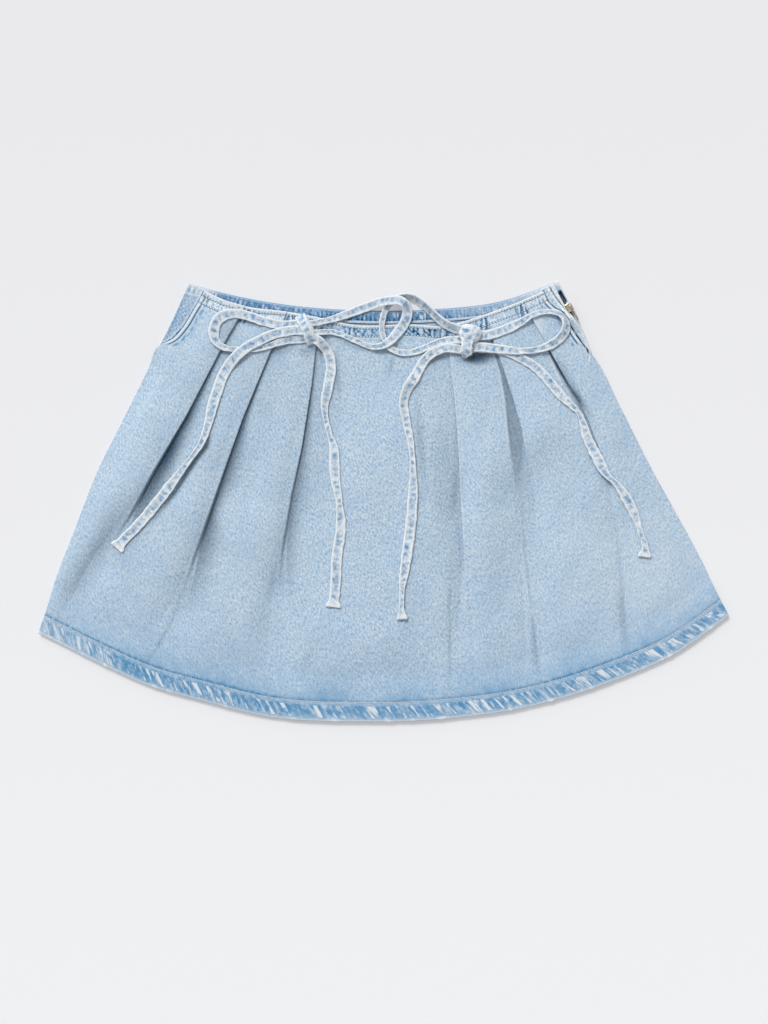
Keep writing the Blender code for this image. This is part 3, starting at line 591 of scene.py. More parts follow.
def near_line(x, y, line):
    """Distance of each place to a line, and the share of the line's length at the nearest point."""
    line = np.asarray(line, float)
    starts = distances(line)
    best = np.full(x.shape, 1e9)
    share = np.zeros(x.shape)
    for (ax, ay), (bx, by), start, end in zip(line, line[1:], starts, starts[1:]):
        t = np.clip(((x - ax) * (bx - ax) + (y - ay) * (by - ay)) / (end - start) ** 2, 0, 1)
        distance = np.hypot(x - ax - t * (bx - ax), y - ay - t * (by - ay))
        closer = distance < best
        best = np.where(closer, distance, best)
        share = np.where(closer, (start + t * (end - start)) / starts[-1], share)
    return best, share


def front_side(pocket, side):
    """A front edge: the slanted pocket edge, then the side below it."""
    return pocket + side[POCKET_ENDS + 1 :]


LEFT_FRONT = front_side(LEFT_POCKET, LEFT_SIDE)
RIGHT_FRONT = front_side(RIGHT_POCKET, RIGHT_SIDE[1:])


def patch(top, left, right, u, v):
    """The point at share u across and v down, between a waist edge, the hem and two sides."""
    shape = np.shape(u)
    u = np.ravel(u).astype(float)[:, None]
    v = np.ravel(v).astype(float)[:, None]
    across = (1 - v) * along(top, u[:, 0]) + v * along(HEM, u[:, 0])
    down = (1 - u) * along(left, v[:, 0]) + u * along(right, v[:, 0])
    corners = (1 - v) * ((1 - u) * np.array(top[0]) + u * np.array(top[-1]))
    corners = corners + v * ((1 - u) * np.array(HEM[0]) + u * np.array(HEM[-1]))
    return (across + down - corners).reshape(shape + (2,))


def front_point(u, v):
    return patch(FRONT_WAIST, LEFT_FRONT, RIGHT_FRONT, u, v)


def back_point(u, v):
    return patch(BACK_WAIST, LEFT_SIDE, RIGHT_SIDE, u, v)


def fold_share(pleat, v):
    """The share across the row v at which the row meets the pleat's fold line."""
    u = np.linspace(0, 1, 401)
    row = front_point(u, np.full_like(u, v))
    edge = np.array(sorted(pleat.edge, key=lambda point: point[1]), float)
    beside = row[:, 0] - np.interp(row[:, 1], edge[:, 1], edge[:, 0])
    first = int(np.argmax(beside > 0))
    return u[first - 1] + (u[first] - u[first - 1]) * beside[first - 1] / (beside[first - 1] - beside[first])


def panel_base(v):
    """Height of the front panel's underside in its lowest places."""
    falls = (WAIST_BASE - BODY_BASE) * smoothstep(v, WAIST_BASE_ENDS, BODY_BASE_STARTS)
    rises = (HEM_BASE - BODY_BASE) * smoothstep(v, BODY_BASE_ENDS, HEM_BASE_STARTS)
    return WAIST_BASE - falls + rises


def pleat_section(pleat, opened, ink):
    """(offset towards the centre, height) along one pleat's fold, from its upper to its lower side."""
    turn = math.pi * fade(opened, 0.55, 1.0)
    radius = PRESSED_RADIUS + (pleat.swell - PRESSED_RADIUS) * 0.3 * smoothstep(opened, 0.3, 0.8)
    straight = OPEN_UNDERLAP + (pleat.underlap - OPEN_UNDERLAP) * max(0.0, 1 - opened / 0.6)
    arc = np.linspace(0, turn, ARC_STEPS + 1)
    upper = radius * np.stack([np.sin(arc), np.cos(arc) - 1], axis=1)
    corner = upper[-1] + straight * np.array([math.cos(turn), -math.sin(turn)])
    end = corner + upper[-1]
    section = np.concatenate([upper, end - upper[::-1]])
    section -= [upper[:, 0].max(), end[1]]
    section[:, 0] += FADED_HALF_WIDTH * smoothstep(opened, 0.75, 1.0) * np.linspace(-1, 1, len(section))
    top = [section[:, 0].min() - RUN_IN, section[0, 1]]
    bottom = [section[:, 0].max() + RUN_OUT * (0.6 + 0.4 * ink), section[-1, 1]]
    return np.concatenate([[top], section, [bottom]])


# A pleat in one row of the front: which way it faces, how far closed it is, how dark the painted shade in
# its gap is, how dark, far and sharp the painted shade on its lower side is, how broad it has become, and
# how dark its wide painted shade is
Fold = namedtuple("Fold", "side closed ink depth reach power broad dusk")
NO_FOLD = Fold(0, 0.0, 0.0, 0.0, 1.0, 1.0, 0.0, 0.0)

# What front_row says of each point: its share across the row and its height over the base; how dark the
# painted shade is in the gap of a closed fold and just below a fold edge; how near it is to a fold edge
# above and further below; and its painted shade
COLUMNS = ("share", "rise", "inside", "valley", "crest", "beside", "shaded")


def pleat_points(pleat, shades, v, length):
    """One pleat in the row v of the front: its points from left to right, and its state."""
    share = fold_share(pleat, v)
    y = front_point([share], [v])[0, 1]
    top_y = pleat.edge[0][1]
    opened = min(1.0, max(0.0, (top_y - y) / (top_y - pleat.gone)))
    ink = pleat.ink * fade(opened, 0.32, 0.62)
    ink *= smoothstep(opened, pleat.inked - 0.05, pleat.inked + 0.05)
    broad = smoothstep(opened, 0.55, 0.75)
    shades = np.array(shades)
    depth, reach, power = (np.interp(opened, shades[:, 0], shades[:, k]) for k in (1, 2, 3))
    depth *= pleat.shade
    section = pleat_section(pleat, opened, ink)
    section[:, 0] = share + pleat.side * section[:, 0] / length
    inside, valley, crest, beside, shaded = np.zeros((5, len(section)))
    lower = ARC_STEPS // 2 + 1
    # Painted shade in the fold's gap and just below its edge
    inside[lower + 1 : -1] = ink
    valley[-2:] = ink, 0.4 * ink
    crest[2 : lower + 1] = fade(opened, 0.7 * pleat.rim, pleat.rim)
    shaded[:lower] = 0.25 * depth * broad
    shaded[lower:] = 0.6 * depth * (1 - 0.7 * smoothstep(opened, 0.45, 0.65))
    points = np.column_stack([section, inside, valley, crest, beside, shaded])
    dusk = 0.13 * pleat.shade * fade(opened, 0.4, 0.75)
    state = Fold(pleat.side, fade(opened, 0.6, 1.0), ink, depth, reach, power, broad, dusk)
    return points[:: pleat.side], state


def cloth_between(first, last, folds, billow, v, length):
    """The points of a row between two others, shaped and shaded by the folds left and right of them."""
    t = np.linspace(0, 1, BETWEEN + 2)[1:-1]
    share = first[0] + (last[0] - first[0]) * t
    rise = first[1] + (last[1] - first[1]) * smoothstep(t, 0, 1)
    width = (last[0] - first[0]) * length
    swell = billow * (1 - np.abs(1 - 2 * t) ** 2.6)
    swell *= smoothstep(v, 0.08, 0.45) * (1 - 0.85 * smoothstep(v, 0.78, 0.94))
    inside, valley, crest, beside, shaded = np.zeros((5, BETWEEN))
    for fold, distance, towards in ((folds[0], t * width, 1), (folds[1], (1 - t) * width, -1)):
        if fold.side == towards:
            # Painted shade just below the fold edge and on the cloth beside it
            valley = np.maximum(valley, fold.ink * np.exp(-distance / 1.1))
            beside = np.maximum(beside, fold.closed * np.exp(-distance / 7.0))
            away = ((distance + RUN_OUT) / fold.reach) ** fold.power
            shaded = np.maximum(shaded, fold.depth * np.exp(-away))
            shaded = np.maximum(shaded, fold.dusk * fade(distance, 8, 40))
            puffed = (1 - np.exp(-distance / 1.6)) * np.exp(-distance / 16.0)
            swell = swell + PUFF * fold.closed * puffed * smoothstep(v, 0.03, 0.08)
        elif fold.side:
            shaded = np.maximum(shaded, 0.25 * fold.depth * fold.broad * np.exp(-distance / 6.0))
    return np.column_stack([share, rise + swell, inside, valley, crest, beside, shaded])


def front_row(v):
    """One row of the front cloth from left to right, with the COLUMNS of each point, and its length."""
    length = distances(front_point(np.linspace(0, 1, 41), np.full(41, v)))[-1]
    sections, folds = [np.zeros((1, len(COLUMNS)))], [NO_FOLD]
    for pleat, shades in zip(PLEATS, FOLD_SHADES):
        points, fold = pleat_points(pleat, shades, v, length)
        sections.append(points)
        folds.append(fold)
    sections.append(np.eye(1, len(COLUMNS)))
    folds.append(NO_FOLD)
    row = sections[:1]
    for k, billow in enumerate(BILLOWS):
        row.append(cloth_between(sections[k][-1], sections[k + 1][0], folds[k : k + 2], billow, v, length))
        row.append(sections[k + 1])
    return np.concatenate(row), length


def stitch_down(share, inset):
    """How far below the front's waist edge a row of stitches runs: further down at the left end."""
    return inset + 2.2 * fade(share, 0.05, 0.35)


def streaks(place, depth, seed, gaps):
    """Uneven leaning ridges across the hem, 0 to 1 at each place along it and depth from its edge."""
    draw = np.random.default_rng(seed)
    total = np.zeros(place.shape)
    at = float(place.min())
    while at < place.max() + 15:
        width, strength, lean = draw.uniform((1.0, 0.4, 0.4), (2.6, 1.0, 0.95))
        first, last = np.sort(draw.uniform(-5, 21, 2))
        here = hump(place + lean * depth, at, width) * smoothstep(depth, first - 2, first + 2)
        total = np.maximum(total, strength * here * fade(depth, last - 2, last + 2))
        at += draw.uniform(*gaps)
    return total


def relief(x, y):
    """Soft unevenness of the laid cloth and its creases, and how dark the painted shade in the creases is."""
    rise = 0.8 * field(x, y, 110, 3) + 0.22 * field(x, y, 45, 4) + 0.05 * field(x, y, 13, 5)
    shade = np.zeros(rise.shape)
    for crease in CREASES:
        distance, share = near_line(x, y, crease.line)
        here = np.sin(math.pi * np.clip(share, 0.02, 0.98)) ** 0.5 * hump(distance, 0, crease.width)
        rise = rise + crease.height * here
        shade = shade + crease.shade * here
    return rise, shade


def hollow_shade(x, y):
    """How dark the hollow of the open pleat is."""
    lines = np.array(HOLLOW_EDGE), np.array(PLEATS[HOLLOW_PLEAT].edge)
    near, far = (np.interp(-y, -line[:, 1], line[:, 0]) for line in lines)
    soft = 1.0 + 9.0 * smoothstep(-y, -80, 10)
    inside = smoothstep(x, near - 0.8, near + 0.8 + 0.2 * soft) * fade(x, far - 0.8 * soft, far + soft)
    inside *= 1 - 0.35 * np.clip((x - near) / np.maximum(far - near, 1), 0, 1)
    return inside * smoothstep(-y, -140, -118) * fade(-y, -62, 5)


def tie_shade(x, y):
    """How dark the places are that the ties keep in shade."""
    total = np.zeros(x.shape)
    for at_x, at_y, long, wide, heading, strength in SHADED:
        cos, sin = math.cos(math.radians(heading)), math.sin(math.radians(heading))
        across = ((x - at_x) * cos + (y - at_y) * sin) / long
        up = ((y - at_y) * cos - (x - at_x) * sin) / wide
        total = np.maximum(total, strength * np.exp(-((across**2 + up**2) ** 1.5)))
    return total


def add_object(name, data):
    obj = bpy.data.objects.new(name, data)
    bpy.context.scene.collection.objects.link(obj)
    return obj


def mesh_from(name, points, faces, paint, material):
    """A smooth mesh piece from points in millimetres, with the values and vectors painted on them."""
    points = np.asarray(points, float)
    mesh = bpy.data.meshes.new(name)
    mesh.from_pydata((points.reshape(-1, 3) * MM).tolist(), [], faces)
    for key, values in paint.items():
        values = np.asarray(values, np.float32)
        kind, field_name = ("FLOAT_VECTOR", "vector") if values.ndim == points.ndim else ("FLOAT", "value")
        values = np.broadcast_to(values, points.shape[:-1] + values.shape[points.ndim - 1 :])
        mesh.attributes.new(key, kind, "POINT").data.foreach_set(field_name, values.ravel())
    mesh.shade_smooth()
    mesh.materials.append(material)
    return add_object(name, mesh)


def dress(piece, slot, *nodes):
    """Lets a piece ride on the skirt in a material slot of the part, in the place of these nodes."""
    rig.ride(piece, "skirt")
    if nodes:
        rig.replaces(piece, *nodes)
    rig.slot(piece, slot)
    return piece


def rim_points(rows, columns):
    """The border of a grid as a loop of (row, column), clockwise seen from above."""
    top = [(0, j) for j in range(columns - 1)]
    right = [(i, columns - 1) for i in range(rows - 1)]
    bottom = [(rows - 1, j) for j in range(columns - 1, 0, -1)]
    left = [(i, 0) for i in range(rows - 1, 0, -1)]
    return top + right + bottom + left


def grid_faces(index):
    """Four-cornered faces between the points of a grid, seen from its outer side."""
    return np.stack([index[:-1, :-1], index[1:, :-1], index[1:, 1:], index[:-1, 1:]], axis=-1).reshape(-1, 4)


def cloth_shell(name, grid, run, down, paint, material):
    """A closed cloth shell round a grid of points on its middle surface, with values painted on it.

    run and down place its grain. The inner face takes every second row and column of the grid, so that
    has odd numbers of both."""
    rows, columns = grid.shape[:2]
    if rows % 2 == 0 or columns % 2 == 0:
        raise ValueError(f"{name} needs odd numbers of rows and columns")
    normals = unit(np.cross(np.gradient(grid, axis=0), np.gradient(grid, axis=1)))
    outer = grid + normals * CLOTH / 2
    inner = (grid - normals * CLOTH / 2)[::2, ::2]
    loop = rim_points(rows, columns)
    count = len(loop)
    at = tuple(np.array(loop).T)
    inside = (np.clip(at[0], 1, rows - 2), np.clip(at[1], 1, columns - 2))
    rim = grid[at] + unit(grid[at] - grid[inside]) * CLOTH * 0.35
    points = np.concatenate([outer.reshape(-1, 3), rim, inner.reshape(-1, 3)])

    outer_index = np.arange(rows * columns).reshape(rows, columns)
    first_rim = outer_index.size
    inner_index = first_rim + count + np.arange(inner[..., 0].size).reshape(inner.shape[:2])
    faces = grid_faces(outer_index).tolist() + grid_faces(inner_index)[:, [0, 3, 2, 1]].tolist()
    for k in range(count):
        after = (k + 1) % count
        faces.append((outer_index[loop[k]], outer_index[loop[after]], first_rim + after, first_rim + k))
    for k in range(0, count, 2):
        after = (k + 2) % count
        a, b = (inner_index[loop[m][0] // 2, loop[m][1] // 2] for m in (k, after))
        k0, k1, k2 = first_rim + k, first_rim + k + 1, first_rim + after
        faces += [(k0, k1, a), (k1, k2, b), (k1, b, a)]

    paint = {"cloth": np.stack([run * MM, -down * MM, 0 * run], axis=-1), **paint}
    for key, values in paint.items():
        values = np.broadcast_to(values, (rows, columns) + np.shape(values)[2:])
        shape = (-1,) + values.shape[2:]
        paint[key] = np.concatenate([values.reshape(shape), values[at], values[::2, ::2].reshape(shape)])
    return mesh_from(name, points, faces, paint, material)


def turned_hem(grid, to_hem, before, turns, depths, up, inset=0.0):
    """The grid with the rows that turn round its last one, upwards or downwards, and lie behind the hem.

    The last row moves in by the inset, and the row before it by so many shows which way is out."""
    last = grid[-1]
    out = unit(last[:, :2] - grid[-1 - before, :, :2])
    rows = []
    for turn in np.radians(turns):
        rows.append(last.copy())
        rows[-1][:, :2] += out * (TURN_RADIUS * math.sin(turn) - inset)
        rows[-1][:, 2] += up * TURN_RADIUS * (1 - math.cos(turn))
    for depth in depths:
        rows.append(grid[np.argmin(np.abs(to_hem[:, 0] - depth))].copy())
        rows[-1][:, 2] += up * 2 * TURN_RADIUS
    last[:, :2] -= out * inset
    return np.concatenate([grid, rows])


def more_rows(values, rows):
    """A grid's values with further rows below them, each one number or a row like the last."""
    rows = np.stack([np.broadcast_to(row, values[-1].shape) for row in rows])
    return np.concatenate([values, rows])


def linear(red, green, blue):
    """A colour of 0 to 255 as the shader takes it."""
    channels = [value / 255 for value in (red, green, blue)]
    return tuple(v / 12.92 if v <= 0.04045 else ((v + 0.055) / 1.055) ** 2.4 for v in channels) + (1.0,)


class Tree:
    """The nodes of one material, made and joined by short calls."""

    def __init__(self, name):
        self.material = bpy.data.materials.new(name)
        self.material.use_nodes = True
        self.nodes = self.material.node_tree.nodes
        self.links = self.material.node_tree.links

    def put(self, slots, values):
        """Links or sets these sockets of a node, named or numbered."""
        for key, value in values.items():
            if isinstance(value, bpy.types.NodeSocket):
                self.links.new(value, slots[key])
            else:
                slots[key].default_value = value

    def make(self, kind, settings, inputs):
        node = self.nodes.new("ShaderNode" + kind)
        for key, value in settings.items():
            setattr(node, key, value)
        self.put(node.inputs, inputs)
        return node

    def surface(self, values):
        self.put(self.nodes["Principled BSDF"].inputs, values)
        return self.material

    def math(self, operation, a, b, clamp=False):
        return self.make("Math", {"operation": operation, "use_clamp": clamp}, {0: a, 1: b}).outputs[0]

    def times(self, first, *others, clamp=False):
        for value in others:
            first = self.math("MULTIPLY", first, value, clamp)
        return first

    def scaled(self, value, factor, offset):
        return self.math("ADD", self.times(value, factor), offset)

    def attribute(self, name, output="Fac"):
        return self.make("Attribute", {"attribute_name": name}, {}).outputs[output]

    def mix(self, share, a, b, blend="MIX"):
        settings = {"data_type": "RGBA", "blend_type": blend}
        node = self.make("Mix", settings, {"Factor": share, "A": a, "B": b})
        return node.outputs["Result"]

    def noise(self, vector, scale, detail=2.0, rough=0.55):
        inputs = {"Vector": vector, "Scale": scale, "Detail": detail, "Roughness": rough}
        return self.make("TexNoise", {}, inputs).outputs["Fac"]

    def object_place(self):
        return self.make("TexCoord", {}, {}).outputs["Object"]

    def stretched(self, vector, stretch, turn=0):
        """Places at which a texture is drawn out along a line leaning this many degrees to the left."""
        inputs = {"Vector": vector, "Rotation": (0, 0, math.radians(turn)), "Scale": (1, stretch, 1)}
        return self.make("Mapping", {"vector_type": "TEXTURE"}, inputs).outputs[0]

    def band(self, value, low, high):
        inputs = {"Value": value, "From Min": low, "From Max": high}
        return self.make("MapRange", {"interpolation_type": "SMOOTHSTEP"}, inputs).outputs[0]

    def ramp(self, share, *stops):
        """Colours of 0 to 255 at these places: (place, red, green, blue)."""
        node = self.make("ValToRGB", {}, {"Fac": share})
        elements = node.color_ramp.elements
        while len(elements) < len(stops):
            elements.new(0.5)
        for element, (place, *colour) in zip(elements, stops):
            element.position = place
            element.color = linear(*colour)
        return node.outputs[0]


# What is left of a colour in full shade, the navy of the darkest seams and the white of worn ones
SHADE_TINT = (0.03, 0.08, 0.125, 1.0)
NAVY = (20, 28, 44)
WHITE = (226, 230, 232)

# Denims: contrast, and pale, middle, dark and indigo colour
DENIMS = {
    "denim_front": (1.0, (213, 221, 225), (179, 200, 218), (136, 167, 200), (76, 138, 182)),
    "denim_back_and_inside": (1.0, (206, 216, 224), (168, 192, 213), (130, 162, 194), (72, 124, 170)),
    "denim_hips": (1.0, (222, 230, 235), (180, 202, 219), (126, 160, 194), (88, 136, 178)),
    "denim_ties": (0.8, (238, 241, 242), (213, 222, 229), (172, 194, 212), (98, 144, 184)),
}


def denim(name, contrast, pale, middle, dark, indigo):
    """Washed denim. worn whitens it, deep brings back its indigo and beyond 1 its navy (also for the painted
    shadow beside the pocket edges), seam mottles it, hem streaks it and shade darkens it with painted shade."""
    tree = Tree(name)
    cloth = tree.attribute("cloth", "Vector")
    worn, deep, seam = (tree.attribute(key) for key in ("worn", "deep", "seam"))
    shade, coarse = tree.attribute("shade"), tree.attribute("coarse")
    hem = tree.attribute("hem", "Vector")
    on_hem = tree.make("SeparateXYZ", {}, {"Vector": hem}).outputs[2]
    blue, white = linear(*indigo), linear(*WHITE)

    # The twill: grain, flecks and wider mottling
    grain = tree.noise(tree.stretched(cloth, 1.3), 530.0, 2.0, 0.85)
    flecks = tree.noise(tree.stretched(cloth, 2.6, 28), 690.0, 2.0, 0.6)
    mottle = tree.noise(cloth, 150.0, 3.0, 0.6)
    wide = tree.noise(cloth, 26.0, 3.0, 0.5)
    share = 0.5
    more_grain = tree.math("ADD", coarse, 1.0)
    for value, weight in ((grain, 2.1), (flecks, 1.6), (mottle, 0.35), (wide, 0.1)):
        part = tree.times(tree.math("SUBTRACT", value, 0.5), weight * contrast, more_grain)
        share = tree.math("ADD", part, share)
    colour = tree.ramp(share, (0.0, *dark), (0.5, *middle), (1.0, *pale))
    hue = tree.band(tree.noise(cloth, 48.0, 4.0, 0.6), 0.42, 0.62)
    colour = tree.mix(tree.times(hue, 0.07), colour, blue)

    # Seams: whitish, with dark flecks
    rough = tree.noise(cloth, 520.0, 2.0, 0.8)
    mottled = tree.ramp(rough, (0.38, *indigo), (0.46, *middle), (0.55, *WHITE))
    colour = tree.mix(seam, colour, mottled)

    colour = tree.mix(tree.times(deep, tree.scaled(grain, 1.2, 0.4), clamp=True), colour, blue)
    colour = tree.mix(tree.math("SUBTRACT", deep, 1.0, clamp=True), colour, linear(*NAVY))
    colour = tree.mix(tree.times(worn, tree.scaled(rough, 1.3, 0.3), clamp=True), colour, white)

    # Hem: blue and pale patches and thin pale streaks across it
    patches = tree.band(tree.noise(tree.stretched(hem, 2.0), 160.0, 3.0, 0.7), 0.42, 0.6)
    colour = tree.mix(tree.times(patches, on_hem, 0.6), colour, blue)
    pale_patches = tree.band(tree.noise(tree.stretched(hem, 3.2), 260.0, 3.0, 0.75), 0.5, 0.64)
    colour = tree.mix(tree.times(pale_patches, on_hem, 0.4), colour, white)
    thin = tree.band(tree.noise(tree.stretched(hem, 6.0), 165.0, 3.0, 0.6), 0.53, 0.6)
    broken = tree.band(tree.noise(tree.stretched(hem, 1.4), 110.0, 2.0, 0.6), 0.36, 0.52)
    colour = tree.mix(tree.times(thin, broken, on_hem, 0.8), colour, white)

    rise = tree.math("ADD", tree.times(flecks, 0.6), tree.times(grain, 0.8))
    rise = tree.math("ADD", rise, tree.times(rough, seam, 1.2))
    bump = tree.make("Bump", {}, {"Height": rise, "Strength": 0.5, "Distance": 0.00025})
    return tree.surface({
        "Base Color": tree.mix(shade, colour, SHADE_TINT, "MULTIPLY"),
        "Normal": bump.outputs[0],
        "Roughness": 0.9,
        "Specular IOR Level": 0.2,
        "Sheen Weight": 0.05,
        "Sheen Roughness": 0.5,
    })


def thread_material():
    tree = Tree("thread")
    strands = tree.noise(tree.object_place(), 2600.0, 2.0)
    colour = tree.ramp(strands, (0.3, 184, 198, 210), (0.75, 238, 241, 242))
    # Painted shade on the ends of each stitch, where they sink into the cloth
    colour = tree.mix(tree.attribute("sunk_shade"), colour, linear(84, 110, 138))
    return tree.surface({"Base Color": colour, "Roughness": 0.7})


def tape_material():
    tree = Tree("zip_tape_woven")
    inputs = {"Vector": tree.object_place(), "Scale": 420.0, "Distortion": 0.8}
    weave = tree.make("TexWave", {"bands_direction": "DIAGONAL"}, inputs).outputs["Fac"]
    return tree.surface({"Base Color": tree.ramp(weave, (0.2, *NAVY), (0.9, 48, 60, 84)), "Roughness": 0.85})


def brass_material():
    tree = Tree("brass_worn")
    blotch = tree.noise(tree.object_place(), 900.0, 3.0)
    colour = tree.ramp(blotch, (0.36, 92, 78, 56), (0.5, 196, 180, 146), (0.66, 240, 234, 216))
    rough = tree.make("MapRange", {}, {"Value": blotch, "To Min": 0.5, "To Max": 0.28})
    return tree.surface({"Base Color": colour, "Roughness": rough.outputs[0], "Metallic": 1.0})


def floor_material():
    """Lit from below a little, like a light table, so that shadows on it stay pale."""
    tree = Tree("studio_floor")
    place = tree.make("SeparateXYZ", {}, {"Vector": tree.object_place()}).outputs[1]
    # Painted shade: the floor is a little darker towards +Y
    colour = tree.ramp(tree.band(place, -0.6, 0.6), (0.0, 237, 238, 240), (1.0, 231, 231, 234))
    return tree.surface({
        "Base Color": tree.mix(FLOOR_GLOW, colour, (0, 0, 0, 1)),
        "Emission Color": colour,
        "Emission Strength": FLOOR_GLOW,
        "Roughness": 0.9,
        "Specular IOR Level": 0.1,
    })


def make_camera():
    data = bpy.data.cameras.new("camera")
    data.lens = LENS
    data.sensor_width = SENSOR
    camera = add_object("camera", data)
    camera.location = (*VIEW_CENTRE, VIEW_HEIGHT * LENS / SENSOR)
    bpy.context.scene.camera = camera


def make_light():
    world = bpy.data.worlds.new("studio")
    world.use_nodes = True
    background = world.node_tree.nodes["Background"]
    background.inputs["Color"].default_value = (1.0, 1.0, 1.0, 1.0)
    background.inputs["Strength"].default_value = SKY
    bpy.context.scene.world = world
    for name, (aim, angle, energy) in SUNS.items():
        data = bpy.data.lights.new(name, "SUN")
        data.angle = math.radians(angle)
        data.energy = energy
        light = add_object(name, data)
        light.rotation_mode = "QUATERNION"
        light.rotation_quaternion = Vector(aim).to_track_quat("-Z", "Y")
    bpy.context.scene.view_settings.view_transform = "Standard"


def make_floor():
    corners = [(x * FLOOR_HALF, y * FLOOR_HALF, 0) for x, y in ((-1, -1), (1, -1), (1, 1), (-1, 1))]
    mesh = bpy.data.meshes.new("studio_floor")
    mesh.from_pydata(corners, [], [(0, 1, 2, 3)])
    mesh.materials.append(floor_material())
    floor = add_object("studio_floor", mesh)
    floor.location.z = FLOOR_Z
    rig.stage(floor)


def front_places():
    """The front cloth's grid as it lies, with what the steps below need of each of its points."""
    body = np.linspace(WAIST_ROWS[-1], HEM_ROWS[0], BODY_ROWS + 2)[1:-1]
    downs = np.concatenate([WAIST_ROWS, body, HEM_ROWS])
    rows, lengths = zip(*(front_row(down / SIDE_LENGTH) for down in downs))
    at = SimpleNamespace(**dict(zip(COLUMNS, np.moveaxis(np.stack(rows), 2, 0))))
    lengths = np.array(lengths)[:, None]
    at.down = np.repeat(downs[:, None], at.share.shape[1], axis=1)
    at.to_hem = SIDE_LENGTH - at.down
    at.to_side = np.minimum(at.share, 1 - at.share) * lengths
    at.v = at.down / SIDE_LENGTH
    at.flat = front_point(at.share, at.v)
    at.x, at.y = np.moveaxis(at.flat, 2, 0)
    steps = np.hypot(np.diff(at.share, axis=1) * lengths, np.diff(at.rise, axis=1))
    at.run = np.pad(np.cumsum(steps, axis=1), ((0, 0), (1, 0)))
    at.hem_run = at.share * lengths[-1]
    at.speckle = field(at.run, at.down, 5, 31)
    return at


def lay_front(at):
    """Lays the front over the folds under it, with its own folds, creases and open pleat."""
    base = panel_base(at.v)
    low = np.where((at.v > 0.19) & (at.v < 0.9), BODY_BASE, base)
    low = low + (base - low) * (fade(at.v, 0.19, 0.27) + smoothstep(at.v, 0.86, 0.93))
    base = low + (base - low) * smoothstep(at.to_side, 0, 22)
    rolling, at.creased = relief(at.x, at.y)
    free = smoothstep(at.to_side, 2, 30) * smoothstep(at.down, 12, 45) * smoothstep(at.to_hem, 20, 55)
    soft = free * (rolling + 1.3 * smoothstep(at.v, 0.3, 0.5))
    pressed = 0.55 + 0.45 * smoothstep(at.down, 4, 15)
    at.hollow = hollow_shade(at.x, at.y)
    at.z = base + CLOTH / 2 + np.maximum(at.rise * pressed + soft - 1.2 * at.hollow, 0)


def pucker_waist(at):
    """The waist's two rows of stitches, and the puckers between them."""
    first_row, second_row = (stitch_down(at.share, inset) for inset in (STITCH_INSET, SECOND_STITCH))
    at.second_row = second_row
    at.on_band = smoothstep(at.down, first_row, first_row + 1.2) * fade(at.down, second_row - 1, second_row)
    at.to_band_end = fade(at.down, second_row + 0.5, second_row + 2)
    at.middle = smoothstep(at.x, -52, -34) * fade(at.x, 64, 76)
    phase = at.run / 4.6 + 0.35 * field(at.run, 0, 26, 11) + 0.22 * field(at.run, 1.5 * at.down, 7, 14)
    at.pucker = np.sin(2 * math.pi * phase)
    at.puckered = np.clip(0.75 + 0.4 * field(at.run, 0, 40, 12), 0.15, 1.2) * at.on_band * (1 - at.inside)
    at.puckered *= 0.3 + 0.7 * at.middle
    furrows = hump(at.down, first_row, 0.8) + hump(at.down, second_row, 0.8)
    at.rows = np.maximum(hump(at.down, first_row, 0.8), hump(at.down, second_row, 0.8))
    at.z += 0.6 * at.pucker * at.puckered - 0.3 * furrows + 0.3 * hump(at.down, 0.9, 0.9)
    below = smoothstep(at.down, 10, 16) * fade(at.down, 20, 34) * at.middle
    at.z += 0.35 * field(at.run, at.down, 9, 13) * below


def rope_hem(at):
    """The hem's leaning ridges and dips, its stitches' furrow and its uneven edge."""
    at.rope = streaks(at.hem_run, at.to_hem, 21, (5.0, 13.0))
    at.dips = streaks(at.hem_run, at.to_hem, 22, (9.0, 22.0))
    at.on_hem = fade(at.to_hem, 14.5, 16.6)
    at.z += (0.55 * at.rope - 0.35 * at.dips) * at.on_hem
    at.z += 0.25 * hump(at.to_hem, HEM_DEPTH + 3, 1.6) - 0.3 * hump(at.to_hem, HEM_DEPTH, 0.8)
    wave = (0.6 * at.rope - 0.5 * at.dips) * hump(at.to_hem, 0, 3.5)
    at.flat = at.flat - np.stack([0 * wave, wave], axis=-1)


def paint_waist(at):
    """How worn, deep and mottled the front is at its waist and beside its folds."""
    speckle, down = at.speckle, at.down
    patches = (1.0 + 0.4 * speckle) * np.clip(at.beside * 2.4, 0, 1) * smoothstep(down, 1.2, 2.6)
    patches = np.clip(patches, 0, 1) * fade(down, at.second_row + 3, at.second_row + 7)
    ruffles = patches * smoothstep(np.sin(2 * math.pi * at.run / 5.4 + 0.8 * speckle), -0.2, 0.75)
    at.worn *= (1 - 0.85 * at.rows * at.to_band_end) * (1 - 0.9 * patches)
    at.worn += 0.8 * ruffles
    at.seam = at.to_band_end * (0.95 - 0.45 * at.middle) * (1 - patches)
    at.deep = 2.1 * np.clip(-at.pucker, 0, 1) * at.puckered + 0.25 * at.on_band * at.middle
    at.deep += 1.1 * at.rows * (0.8 + 0.3 * speckle) * at.to_band_end + 1.25 * patches * (1 - ruffles)
    at.deep += 0.9 * hump(np.hypot(at.x - POCKET_TACK[0], at.y - POCKET_TACK[1]), 0, 3.0)


